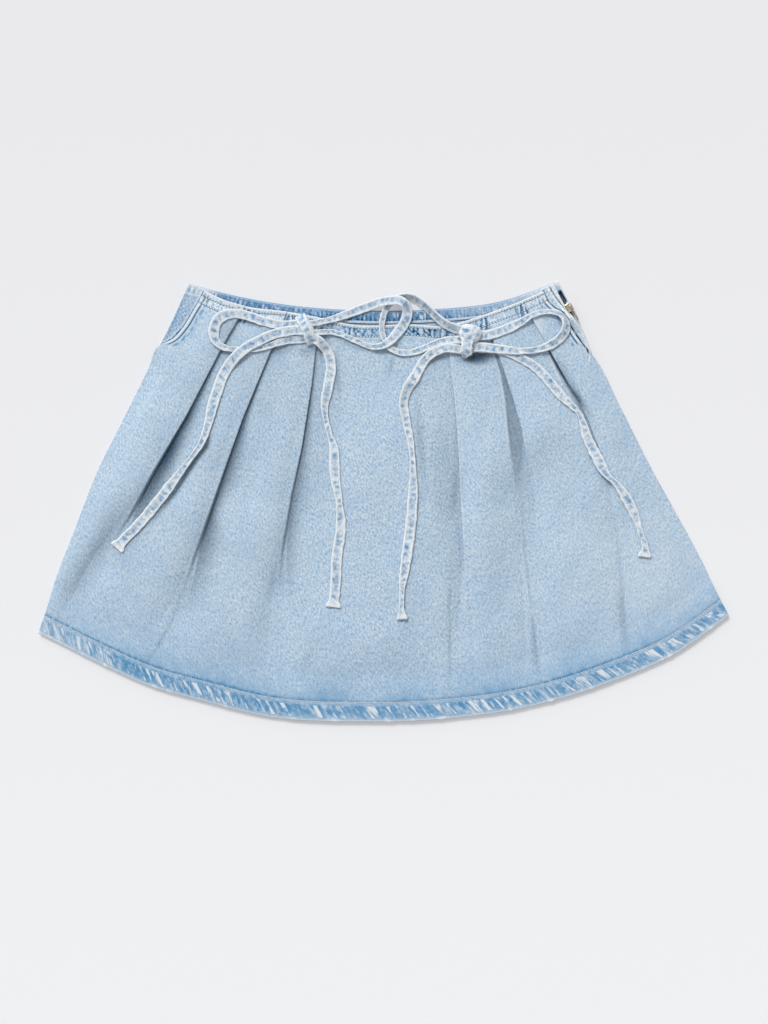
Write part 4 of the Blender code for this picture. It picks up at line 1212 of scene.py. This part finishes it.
def paint_hem(at):
    """How deep the indigo is on the hem and above it."""
    x, to_hem, place = at.x, at.to_hem, at.hem_run
    blue = (0.4 + 0.6 * smoothstep(x, -330, -250)) * (0.6 + 0.4 * smoothstep(to_hem, 2, 9))
    blue *= 0.97 + 0.35 * hump(x, -190, 75)
    at.deep += at.on_hem * (0.8 + 0.5 * at.dips) * blue * (1 + 0.35 * at.speckle)
    above = to_hem - HEM_DEPTH - 0.7 * field(place, 0, 5, 34)
    lined = 0.3 + 0.7 * fade(x, -150, -60) + 0.5 * smoothstep(x, 110, 150) * fade(x, 230, 270)
    at.deep += lined * (0.7 + 0.45 * field(place, 0, 5, 35)) * 0.8 * hump(above, 1.4, 1.2)
    uneven = np.clip(0.85 + 0.2 * field(place, 0, 90, 33) + 0.15 * field(place, to_hem, 16, 36), 0.4, 1.25)
    uneven *= 0.35 + 0.65 * smoothstep(x, -330, -230)
    at.deep += uneven * 0.6 * np.exp(-np.clip(above, 0, 99) / 23.0) * (above > 0)
    at.deep = np.where(to_hem < 60, np.minimum(at.deep, 0.98), at.deep)


def paint_front(at):
    """The values painted on the front: how worn, deep, mottled, shaded and coarse it is, and its hem."""
    x, y, down, to_hem, to_side, speckle = at.x, at.y, at.down, at.to_hem, at.to_side, at.speckle
    pocket = smoothstep(down, 4, 8) * (at.v < 0.172)
    at.worn = 0.8 * hump(down, 0.7, 1.0) + 0.3 * hump(down, at.second_row + 1.2, 0.9) * (1 + 0.6 * speckle)
    at.worn += 0.24 * at.to_band_end * (1 - at.middle) + 0.7 * np.clip(at.pucker, 0, 1) * at.puckered
    at.worn += 0.35 * at.crest + 0.13 * hump(x, 270, 80) * hump(y, -85, 70)
    for strength, width, line in PALE_LINES:
        beside_line, along_line = near_line(x, y, line)
        at.worn += strength * hump(beside_line, 0, width) * fade(along_line, 0.75, 1)
    at.worn += pocket * (0.95 * hump(to_side, 1.2, 1.2) + 0.5 * hump(to_side, 5.2, 0.7))
    at.worn += 0.55 * at.rope * at.on_hem * (1 + 0.4 * speckle)
    at.worn += 0.75 * fade(to_hem, 0.3, 1.6 + 2.6 * at.rope)
    paint_waist(at)
    at.seam += 0.5 * pocket * fade(to_side, 4, 8) + 0.15 * at.on_hem
    at.deep += pocket * 0.9 * hump(to_side, 7.6, 1.8) * smoothstep(speckle, -0.4, 0.4)
    at.deep += pocket * 1.7 * hump(to_side, 3.4, 1.0)
    paint_hem(at)
    at.deep += 0.06 * np.clip(field(at.run, down, 60, 32), 0, 1)

    # Painted shade of the folds, the creases, the open pleat's hollow and the places the ties keep in shade
    lit = (1 - 0.95 * at.inside) * (1 - 0.92 * at.valley) * (1 - at.shaded * smoothstep(down, 20, 60))
    lit = 1 - (1 - lit) * smoothstep(down, 9, 14)
    lit *= (1 - np.clip(at.creased, 0, 0.6)) * (1 - 0.53 * at.hollow) * (1 - tie_shade(x, y))
    # Painted shadow along each shadow line
    for strength, width, line in SHADOW_LINES:
        beside_line, along_line = near_line(x, y, line)
        fading = smoothstep(along_line, 0, 0.15) * fade(along_line, 0.6, 1)
        lit *= 1 - strength * hump(beside_line, 0, width) * fading
    coarse = 0.12 * np.exp(-((x / 95) ** 4)) - 0.04
    streaked = at.on_hem * smoothstep(to_hem, 0.5, 2)
    hem = np.stack([(at.hem_run + 0.7 * to_hem) * MM, to_hem * MM, streaked], axis=-1)

    # The fold of the hem and the cloth behind it, more and more like the plain cloth
    fading = np.linspace(0.9, 0.1, len(FRONT_TURNS) + len(FRONT_DEPTHS))
    plain = np.ones(len(fading))
    return {
        "worn": more_rows(at.worn, [share * at.worn[-1] for share in fading]),
        "deep": more_rows(at.deep, 0.5 * plain),
        "seam": more_rows(at.seam, [at.seam[-1] for _ in fading]),
        "shade": more_rows(1 - lit, 0 * plain),
        "coarse": more_rows(coarse, [share * coarse[-1] for share in fading]),
        "hem": more_rows(hem, [hem[-1] for _ in fading]),
    }


def front_cloth(material):
    """The pleated front, hem and all: one cloth from the waist edge round the hem fold."""
    at = front_places()
    lay_front(at)
    pucker_waist(at)
    rope_hem(at)
    paint = paint_front(at)
    grid = turned_hem(np.dstack([at.flat, at.z]), at.to_hem, 3, FRONT_TURNS, FRONT_DEPTHS, -1)
    behind = [TURN_RADIUS * turn for turn in np.radians(FRONT_TURNS)]
    behind += [TURN_RADIUS * math.pi + depth for depth in FRONT_DEPTHS]
    down = more_rows(at.down, [SIDE_LENGTH + distance for distance in behind])
    run = at.run - at.run[:, [at.run.shape[1] // 2]]
    run = more_rows(run, [run[-1] for _ in behind])
    piece = cloth_shell("front_cloth", grid, run, down, paint, material)
    return dress(piece, "denim", "front_panel", "front_hem_turn")


def fade_ends(x, down, worn, left, right):
    """Whitens the top edge of the back and of its band towards the skirt's left and right end."""
    ends = left * fade(x, -182, -158) + right * smoothstep(x, 118, 160)
    return worn + ends * fade(down, 3, 6)


def darken_slit(x, y, worn, deep):
    """The dark slit above the zip, painted as shade on the cloth under it."""
    slit = near_line(x, y, ZIP_SLIT)[0]
    return worn * smoothstep(slit, 2.0, 3.2), np.maximum(deep, 1.95 * fade(slit, 1.4, 2.7))


def back_cloth(material):
    """The flat back with its turned hem, under the front."""
    downs = [np.linspace(0, 24, 21), np.linspace(24, 366, 40)[1:], np.linspace(366, SIDE_LENGTH, 9)[1:]]
    share, down = np.meshgrid(np.linspace(0, 1, 301), np.concatenate(downs))
    flat = back_point(share, down / SIDE_LENGTH)
    x, y = np.moveaxis(flat, 2, 0)
    run = share * BACK_HEM_WIDTH
    to_side = np.minimum(share, 1 - share) * BACK_WAIST_WIDTH
    speckle = field(run, down, 6, 41)
    worn = 0.05 * hump(down, 0.3, 0.8) + 0.3 * hump(down, 14.0, 1.6) + 0.9 * fade(to_side, 1, 4)
    worn = fade_ends(x, down, worn, 0.5, 0.45)
    deep = 0.12 + 0.15 * speckle + 0.45 * hump(down, 12.4, 0.9) + 0.35 * fade(down, 1, 3)
    worn, deep = darken_slit(x, y, worn, deep)
    grid = np.dstack([flat, np.full(x.shape, CLOTH / 2)])
    grid = turned_hem(grid, SIDE_LENGTH - down, 2, BACK_TURNS, BACK_DEPTHS, 1, BACK_HEM_INSET)
    behind = np.ones(len(BACK_TURNS) + len(BACK_DEPTHS))
    run = more_rows(run, [run[-1] for _ in behind])
    down = more_rows(down, SIDE_LENGTH + 3.0 * np.cumsum(behind))
    paint = {"worn": more_rows(worn, 0.3 * behind), "deep": more_rows(deep, 0.3 * behind)}
    piece = cloth_shell("back_cloth", grid, run, down, paint, material)
    return dress(piece, "denim_inside", "back_panel", "back_hem_turn")


def back_band(material):
    """The band inside the back's waist, with its puckers."""
    share, down = np.meshgrid(np.linspace(0.004, 0.996, 601), BAND_ROWS)
    flat = back_point(share, down / SIDE_LENGTH)
    x, y = np.moveaxis(flat, 2, 0)
    run = share * BAND_LENGTH
    puckers = np.sin(2 * math.pi * (run / 5.2 + 0.6 * field(run, 0, 30, 52)))
    between = smoothstep(down, 1.0, 2.4) * fade(down, 8.8, 9.8)
    z = LAYER + CLOTH / 2 + 0.35 * puckers * between
    z = z - 0.3 * hump(down, 9.4, 0.5) + 0.15 * hump(down, 10.8, 0.6)
    speckle = field(run, down, 3.2, 53)
    uneven = np.clip(0.6 + 0.7 * field(run, down, 14, 54), 0, 1.2)
    dashes = smoothstep(field(run, 0.35 * down, 3.6, 55), 0.15, 0.7) * uneven
    worn = 0.12 * hump(down, 1.3, 0.5) + 0.5 * dashes * between
    worn += 0.2 * hump(down, 9.6, 0.5) * (1 + 0.5 * speckle) + 0.4 * hump(down, 11.3, 0.6)
    worn = fade_ends(x, down, worn, 0.6, 0.5)
    deep = between * (1.0 + 0.35 * np.clip(speckle, -1, 1)) * (1 - 0.5 * dashes) * (0.8 + 0.2 * puckers)
    deep *= 0.95 + 0.3 * smoothstep(down, 4, 8)
    deep += 0.35 * fade(down, 1.6, 2.6) + 0.8 * hump(down, 9.0, 0.5) * (1 + 0.4 * speckle)
    deep *= (1 - 0.5 * smoothstep(x, 45, 85)) * (1 - 0.75 * smoothstep(x, 118, 160))
    worn, deep = darken_slit(x, y, worn, deep)
    paint = {"worn": worn, "deep": deep, "seam": 0.2}
    piece = cloth_shell("back_waist_band", np.dstack([flat, z]), run, down, paint, material)
    return dress(piece, "denim_inside", "back_waist_facing")


def hip_piece(side, left, right, pocket, drop, zipped, material):
    """Cloth behind a slanted pocket edge, between two lines from the waist down.

    Its outer edge drops to the surface by this much. Beside the zip it lies higher and has a seam."""
    t = np.linspace(0, 1, 91)
    one, two = along(left, t)[:, None], along(right, t)[:, None]
    share = np.linspace(0, 1, 57)[None, :]
    flat = one + (two - one) * share[..., None]
    x, y = np.moveaxis(flat, 2, 0)
    down = np.repeat(t[:, None] * HIP_DEPTH, share.size, axis=1)
    width = np.linalg.norm(two - one, axis=2)
    run = share * width
    to_edge = width - run if zipped else run
    speckle, fine = field(x, y, 5, 61), field(x, y, 2.6, 62)
    puckers = np.sin(2 * math.pi * run / 4.6) * smoothstep(down, 2, 4) * fade(down, 8, 10)
    z = 2 * LAYER + CLOTH / 2 - drop * fade(to_edge, 0, 9) * smoothstep(down, 6, 30)
    z = z + 0.25 * puckers + 0.12 * speckle - 0.3 * hump(down, 2.6, 0.7) - 0.3 * hump(down, 10.2, 0.7)
    shadowed = near_line(x, y, pocket)[0]
    worn = 0.7 * hump(down, 0.7, 0.9) + 0.35 * hump(down, 10.8, 0.9) + 0.3 * np.clip(puckers, 0, 1)
    worn += 0.3 * np.clip(speckle, 0, 1) + 0.5 * hump(shadowed, 2.4, 0.8)
    deep = 0.25 * np.clip(-speckle, 0, 1) + 0.35 * np.clip(-puckers, 0, 1) + 0.2 * np.clip(fine, 0, 1)
    # Painted shadow of the pocket edge on the cloth under it, navy at the edge
    deep += 1.5 * hump(shadowed, 0, 1.0)
    seam = 0.6
    if zipped:
        over = smoothstep(down, 18, 34) * smoothstep(-to_edge, -9, -3)
        chain = np.array(CHAIN)
        height = np.interp(-y, -chain[:, 0], chain[:, 2])
        z = z + over * np.clip(height + 1.0 - z, 0, 9)
        groove = near_line(x, y, ZIP_SEAM)[0]
        z = z - 0.7 * hump(groove, 0, 0.9) + 0.3 * hump(groove, 2.2, 1.0)
        worn += 0.75 * hump(to_edge, 0.6, 1.0) + 0.8 * hump(groove, 2.0, 0.9)
        # A wider painted shadow of the pocket edge, and the dark seam beside the zip
        deep += 0.9 * hump(shadowed, 0.5, 2.2) + 1.9 * hump(groove, 0, 0.75)
    else:
        below = 0.6 * smoothstep(down, 9, 14) + 0.4 * smoothstep(down, 14, 40)
        worn += 0.15 * hump(to_edge, 0.6, 1.0)
        deep += below * (0.42 + 0.3 * speckle + 0.3 * fine) + 0.35 * hump(to_edge, 1.2, 1.6)
        seam = seam * (1 - 0.55 * below)
    paint = {"worn": worn, "deep": deep, "seam": seam}
    piece = cloth_shell(f"hip_{side}_cloth", np.dstack([flat, z]), run, down, paint, material)
    return dress(piece, "denim_hip", f"hip_piece_{side}")


def tree_of(*pieces):
    """One search tree of the pieces' faces, in millimetres."""
    vertices, polygons = [], []
    for piece in pieces:
        first = len(vertices)
        points = np.empty(len(piece.data.vertices) * 3)
        piece.data.vertices.foreach_get("co", points)
        vertices.extend((points.reshape(-1, 3) / MM).tolist())
        polygons.extend([[first + i for i in face.vertices] for face in piece.data.polygons])
    return BVHTree.FromPolygons(vertices, polygons)


def top_of(trees, x, y):
    """Height of the highest surface at a place."""
    height = 0.0
    for tree in trees:
        hit = tree.ray_cast(Vector((x, y, ABOVE_ALL)), Vector((0, 0, -1)))[0]
        if hit is not None:
            height = max(height, hit.z)
    return height


def capsules(name, ends, radius, material, slot, sunk_shade=0.0):
    """Short threads: one thin closed body between each pair of points, with painted shade where their ends sink."""
    points, faces, dark = [], [], []
    sides, rings = 6, ((0.0, 0.8), (0.3, 1.0), (0.7, 1.0), (1.0, 0.8))
    turns = 2 * math.pi * np.arange(sides)[:, None] / sides
    for a, b in ends:
        run = unit(b - a)
        across = unit(np.cross(run, (0, 0, 1.0)))
        up = np.cross(across, run)
        circle = radius * (np.cos(turns) * across + np.sin(turns) * up)
        first = len(points)
        points.append(a - run * radius * 0.8)
        for place, size in rings:
            points.extend(a + (b - a) * place + up * radius * 0.35 * (size > 0.9) + size * circle)
        points.append(b + run * radius * 0.8)
        tip = len(points) - 1
        dark += [sunk_shade] * (1 + sides) + [0.0] * 2 * sides + [sunk_shade] * (sides + 1)
        for k in range(sides):
            k2 = (k + 1) % sides
            faces.append((first, first + 1 + k, first + 1 + k2))
            for low in range(first + 1, tip - sides, sides):
                faces.append((low + k, low + sides + k, low + sides + k2, low + k2))
            faces.append((tip - sides + k, tip, tip - sides + k2))
    return dress(mesh_from(name, points, faces, {"sunk_shade": dark}, material), slot)


def stitched(name, surface, lines, pitch, length, radius, sunk_shade, material):
    """Rows of stitches laid on a surface along lines (x, y)."""
    ends = []
    for line in lines:
        total = distances(line)[-1]
        starts = np.arange(pitch * 0.3, total - length, pitch) / total
        for a, b in zip(along(line, starts), along(line, starts + length / total)):
            first, last = top_of([surface], *a), top_of([surface], *b)
            if first > 0 and last > 0:
                ends.append((np.array([*a, first + radius * 0.6]), np.array([*b, last + radius * 0.6])))
    return capsules(name, ends, radius, material, "denim", sunk_shade)


def strap_profile():
    """A tie's outline across it, once round from edge to edge: share of the half width, and height."""
    top = [(1, 0), (0.98, 0.5), (0.88, 0.86), (0.74, 0.94)]
    top += [(0.58, 0.74), (0.38, 0.6), (0.19, 0.56), (0, 0.55)]
    bottom = [(-0.85, -0.7), (-0.45, -0.6), (0, -0.55), (0.45, -0.6), (0.85, -0.7)]
    return np.array(top + [(-a, b) for a, b in top[-2::-1]] + bottom).T


def marks(length, seed):
    """Uneven blue marks along a tie: (place, share across, half length, half width, slant, strength)."""
    draw = np.random.default_rng(seed)
    found = []
    at = draw.uniform(2, 6)
    while at < length:
        found.append((at, *draw.uniform((-0.3, 1.3, 0.34, -0.9, 0.6), (0.3, 2.8, 0.62, 0.9, 1.15))))
        at += draw.uniform(4.2, 8.8)
    return found


def tie_paint(s, a, seed):
    """How worn, deep and mottled a tie is at each place along it and share across it."""
    deep = np.zeros(np.broadcast(s, a).shape)
    torn = field(s, 4.5 * a, 3.4, seed + 7)
    for at, middle, long, wide, slant, strength in marks(float(np.max(s)), seed):
        beside = np.abs(s + slant * 2.5 * (a - middle) + 0.7 * torn - at) / (long * 1.15)
        here = np.exp(-(beside**3) - (np.abs(a - middle + 0.12 * torn) / (wide + 0.08)) ** 3)
        deep = np.maximum(deep, strength * here)
    deep = np.clip(deep * (1 + 0.55 * torn) + 0.25 * np.clip(field(s, 4.5 * a, 11, seed + 8), 0, 1), 0, 1)
    edge = smoothstep(np.abs(a), 0.6, 0.8)
    worn = 0.2 + 0.7 * edge + 0.2 * field(s, 4.0 * a, 7, seed + 1)
    return np.clip(worn, 0, 1), deep * (1 - edge), 0.5 - 0.2 * edge


def ring_faces(rings, size):
    """Faces of a closed tube of rings, with both ends capped."""
    faces = []
    for i in range(rings - 1):
        for k in range(size):
            a, b = i * size + k, i * size + (k + 1) % size
            faces.append((a, b, b + size, a + size))
    faces.append(tuple(range(size))[::-1])
    faces.append(tuple((rings - 1) * size + k for k in range(size)))
    return faces


def band_mesh(name, centre, across, up, s, reach, lift, half, end, seed, material):
    """A band swept along a line: its outline's reach aside and lift at each place s, and how near its
    frayed end is."""
    a = strap_profile()[0]
    points = centre[:, None] + across[:, None] * reach[..., None] + up[:, None] * lift[..., None]
    worn, deep, seam = tie_paint(s, a, seed)
    paint = {
        "cloth": np.stack(np.broadcast_arrays(s, a * half, float(seed)), axis=-1) * MM,
        "worn": np.clip(worn + 0.5 * end, 0, 1),
        "deep": deep * (1 - 0.8 * end),
        "seam": seam,
    }
    return mesh_from(name, points, ring_faces(*lift.shape), paint, material)


def ragged(s, a, amount, size, seed):
    """How far the edges of a band wander aside along it."""
    return np.sign(a) * amount * field(s, np.sign(a) * 50, size, seed) * smoothstep(np.abs(a), 0.5, 1)


def tie_half_width(name, path, tilt):
    """Half the width of a tie at each place along it, from how wide it looks in the photograph."""
    if name in TAIL_WIDTHS:
        widths = np.array(TAIL_WIDTHS[name])
        return np.interp(-path[:, 1], -widths[:, 0], widths[:, 1]) / 2
    widths = np.array(LOOP_WIDTHS[name])
    seen = np.interp(np.linspace(0, 1, len(path)), widths[:, 0], widths[:, 1])
    return np.minimum(seen / 2 / np.cos(tilt), WIDEST_HALF)


def tie(name, route, trees, material, seed):
    """A flat folded tie along its route, over what lies under it."""
    count = int(distances(np.array(route)[:, :2])[-1] / TIE_STEP) + 1
    path = along(route, np.linspace(0, 1, count))
    tilt = np.radians(path[:, 2])
    runs = unit(np.gradient(path[:, :2], axis=0))
    level = np.stack([runs[:, 1], -runs[:, 0]], axis=1)
    half = tie_half_width(name, path, tilt)
    thick = STRAP_THICKNESS / 2 * np.clip(STRAP_WIDTH / 2 / half, 1, 1.7) ** 0.8

    # Its height follows the highest cloth near it, evened out
    reach = half * np.maximum(0.35, np.cos(tilt))
    aside = level * reach[:, None]
    across = path[:, None, :2] + SHARES_ACROSS * aside[:, None]
    base = np.array([max(top_of(trees, *place) for place in places) for places in across])
    base += np.abs(np.sin(tilt)) * half + thick + TIE_GAP
    weights = np.hanning(2 * TIE_WINDOW + 3)[1:-1]
    z = windows(windows(base).max(axis=1)) @ weights / weights.sum()
    centre = np.column_stack([path[:, :2], z])

    s = (np.arange(count) * TIE_STEP)[:, None]
    end = smoothstep(s, s[-1] - 7, s[-1] - 2) if "tail" in name else np.zeros(s.shape)
    side = np.column_stack([level, np.zeros(count)])
    above = np.cross(side, unit(np.gradient(centre, axis=0)))
    cos, sin = np.cos(tilt)[:, None], np.sin(tilt)[:, None]
    a, b = strap_profile()
    half, thick = half[:, None], thick[:, None]
    reach = a * half * (1 + 0.5 * end) + ragged(s, a, 0.24, 9, seed + 5)
    crumple = 0.22 * field(s, a * half, 3.4, seed + 6) + 0.1 * field(s, a * half, 1.9, seed + 7)
    lift = b * thick * (1 + 0.35 * end) + crumple * (b > 0.3)
    across, up = cos * side + sin * above, cos * above - sin * side
    piece = band_mesh(name + "_band", centre, across, up, s, reach, lift, half, end, seed, material)
    return dress(piece, "denim_tie", name), centre


def windows(values):
    """The values round each place along a tie."""
    padded = np.pad(values, TIE_WINDOW, mode="edge")
    return np.lib.stride_tricks.sliding_window_view(padded, 2 * TIE_WINDOW + 1)


def knot_band(name, knot, low, material, seed):
    """A short wrap of tie over a knot: an arched band from the cloth up and down again."""
    t = np.linspace(0, 1, 41)
    path = along(knot.line, t)
    arch = np.sin(math.pi * np.clip(t * 0.92 + 0.04, 0, 1)) ** 0.55
    centre = np.column_stack([path, low + arch * knot.height])
    runs = unit(np.gradient(path, axis=0))
    side = np.column_stack([runs[:, 1], -runs[:, 0], np.zeros(len(t))])
    up = np.cross(side, unit(np.gradient(centre, axis=0)))
    a, b = strap_profile()
    s = (t * distances(centre)[-1])[:, None]
    pinch = (1 - 0.16 * hump(t, 0.5, 0.3)) * (1 - knot.pointed * smoothstep(t, 0.8, 1.0))
    reach = a * knot.width / 2 * pinch[:, None] + ragged(s, a, 0.35, 5, seed + 1)
    crumple = 0.22 * field(s, reach, 5.0, seed + 2) + 0.1 * field(s, reach, 2.1, seed + 3)
    lift = b * 1.5 - 0.9 * a * a + crumple * (b > 0.3)
    piece = band_mesh(name, centre, side, up, s, reach, lift, knot.width / 2, 0, seed, material)
    return dress(piece, "denim_tie")


def knot_core(name, knot, low, node, material, seed):
    """The bunched cloth inside a knot: a flattened lump with folds."""
    rings, sides = 31, 48
    lat = np.linspace(-math.pi / 2, math.pi / 2, rings)[:, None]
    lon = np.linspace(0, 2 * math.pi, sides, endpoint=False)[None, :]
    px, py = (np.sign(wave) * np.abs(wave) ** 0.75 for wave in (np.cos(lon), np.sin(lon)))
    px, py = (wave * np.abs(np.cos(lat)) ** 0.8 for wave in (px, py))
    pz = np.sin(lat) + 0 * lon
    fold = field(px * 9.0, py * 9.0, 8, seed)
    grow = 1 + 0.035 * fold + 0.012 * field(px * 9.0, py * 9.0, 3, seed + 1)
    long, wide, high = knot.size
    x, y = px * long / 2, py * wide / 2
    cos, sin = math.cos(math.radians(knot.heading)), math.sin(math.radians(knot.heading))
    points = np.stack([
        knot.core[0] + (cos * x - sin * y) * grow,
        knot.core[1] + (sin * x + cos * y) * grow,
        low + (pz + 1) * high / 2 * grow,
    ], axis=-1)
    rim = smoothstep(np.hypot(px, py), 0.8, 0.97)
    crease = hump(px * 0.9 + py * 0.35, 0.12 + 0.1 * fold, 0.07)
    paint = {
        "cloth": np.stack([x, y, pz * 4 + seed], axis=-1) * MM,
        "worn": np.clip(0.2 + 0.3 * fold + 0.6 * rim + 0.5 * crease, 0, 1),
        "deep": np.clip(0.3 - 0.9 * fold, 0, 0.9) * (1 - rim),
        "seam": np.full(rim.shape, 0.5),
    }
    return dress(mesh_from(name, points, ring_faces(rings, sides), paint, material), "denim_tie", node)


def side_x(y):
    side = along(RIGHT_SIDE, np.linspace(0, 1, 200))
    return float(np.interp(y, side[::-1, 1], side[::-1, 0]))


def chain_place(y):
    """The chain at this height: its middle, the way out of the skirt, and its lowest and highest z."""
    run = unit(np.array([side_x(y - 6) - side_x(y + 6), -12.0]))
    out = np.array([-run[1], run[0]])
    chain = np.array(CHAIN)
    low, high = (np.interp(-y, -chain[:, 0], chain[:, k]) for k in (1, 2))
    return np.array([side_x(y), y]) - CHAIN_INSET * out, out, low, high


def zip_chain(materials):
    """The zip's woven tape and the teeth along it."""
    top, bottom = CHAIN[0][0], CHAIN[-1][0]
    rings = []
    for y in np.linspace(top, bottom, 61):
        middle, out, low, high = chain_place(y)
        corners = ((-TAPE_HALF, low), (TAPE_HALF, low), (TAPE_HALF, high), (-TAPE_HALF, high))
        rings.append([(*(middle + out * shift), z) for shift, z in corners])
    tape = mesh_from("zip_tape_strip", rings, ring_faces(len(rings), 4), {}, materials["tape"])
    dress(tape, "zip_tape", "zip_chain")
    ends = []
    for k, y in enumerate(np.arange(top - 2, bottom + 2, -TOOTH_PITCH)):
        middle, out, low, high = chain_place(y)
        z = (low + high) / 2 + (0.55 if k % 2 else -0.55) * min(1.0, (high - low) / 2.5)
        ends.append([np.array([*(middle + out * shift), z]) for shift in (-TOOTH_HALF, TOOTH_HALF)])
    capsules("zip_teeth", ends, 0.5, materials["brass"], "brass")


make_camera()
make_light()
make_floor()

materials = {name: denim(name, *look) for name, look in DENIMS.items()}
materials |= {"thread": thread_material(), "tape": tape_material(), "brass": brass_material()}

front = front_cloth(materials["denim_front"])
back = back_cloth(materials["denim_back_and_inside"])
band = back_band(materials["denim_back_and_inside"])
hip_left_outer = along(LEFT_SIDE, np.linspace(0.0, 0.19, 8)) + [0.6, -0.2]
hips = materials["denim_hips"]
hip_left = hip_piece("left", hip_left_outer, HIP_LEFT_INNER, LEFT_POCKET, 1.0, False, hips)
hip_right = hip_piece("right", HIP_RIGHT_INNER, HIP_RIGHT_OUTER, RIGHT_POCKET, 0.0, True, hips)
zip_chain(materials)

front_tree = tree_of(front)
across = np.linspace(0.006, 0.994, 240)
waist_rows = (stitch_down(across, inset) for inset in (STITCH_INSET, SECOND_STITCH))
waist_lines = [front_point(across, row / SIDE_LENGTH) for row in waist_rows]
stitched("waist_stitches", front_tree, waist_lines, 3.0, 2.5, 0.45, 1.0, materials["thread"])
hem_line = front_point(across, np.full(across.shape, 1 - HEM_DEPTH / SIDE_LENGTH))
stitched("hem_stitches", front_tree, [hem_line], 2.6, 2.0, 0.42, 0.4, materials["thread"])

under = [front_tree, tree_of(back, band, hip_left, hip_right)]
knot_lows = [top_of(under, *knot.at) for knot in KNOTS.values()]
cords = {}
for number, (name, route) in enumerate(TIES.items()):
    cords[name] = tie(name, route, under, materials["denim_ties"], 100 + 10 * number)
    under.append(tree_of(cords[name][0]))

knots = {}
for number, ((bow, knot), low) in enumerate(zip(KNOTS.items(), knot_lows)):
    seed = 201 + 2 * number
    core = knot_core(bow + "_knot_core", knot, low, bow + "_knot", materials["denim_ties"], seed)
    knots[bow] = [core, knot_band(bow + "_knot_band", knot, low, materials["denim_ties"], seed + 1)]

for name, (piece, centre) in cords.items():
    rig.cord(
        piece,
        exit=tuple(centre[0] * MM),
        length=round(float(distances(centre)[-1] * MM), 4),
        diameter=STRAP_WIDTH * MM,
        far_end="object" if "loop" in name else "bare",
        stiffness="limp",
        lay="loose",
        with_pieces=knots[name.removesuffix("_loop_outer")] if name.endswith("loop_outer") else [],
        path=(centre * MM).tolist(),
    )

for node in ("zip_slider", "zip_pull_tab"):
    for slot in frame["nodes"][node].material_slots:
        slot.material = materials["brass"]

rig.sheet(front, flat=(0.78, 0.45), held="laid", rests_on=["back_panel"], area=0.24)
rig.sheet(back, flat=(0.7, 0.44), held="laid", rests_on=["back_panel"], area=0.22)

lowest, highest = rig.bounds()
with open("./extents.json", "w") as file:
    json.dump({"cad": [list(corner) for corner in cad_box], "scene": [list(lowest), list(highest)]}, file)
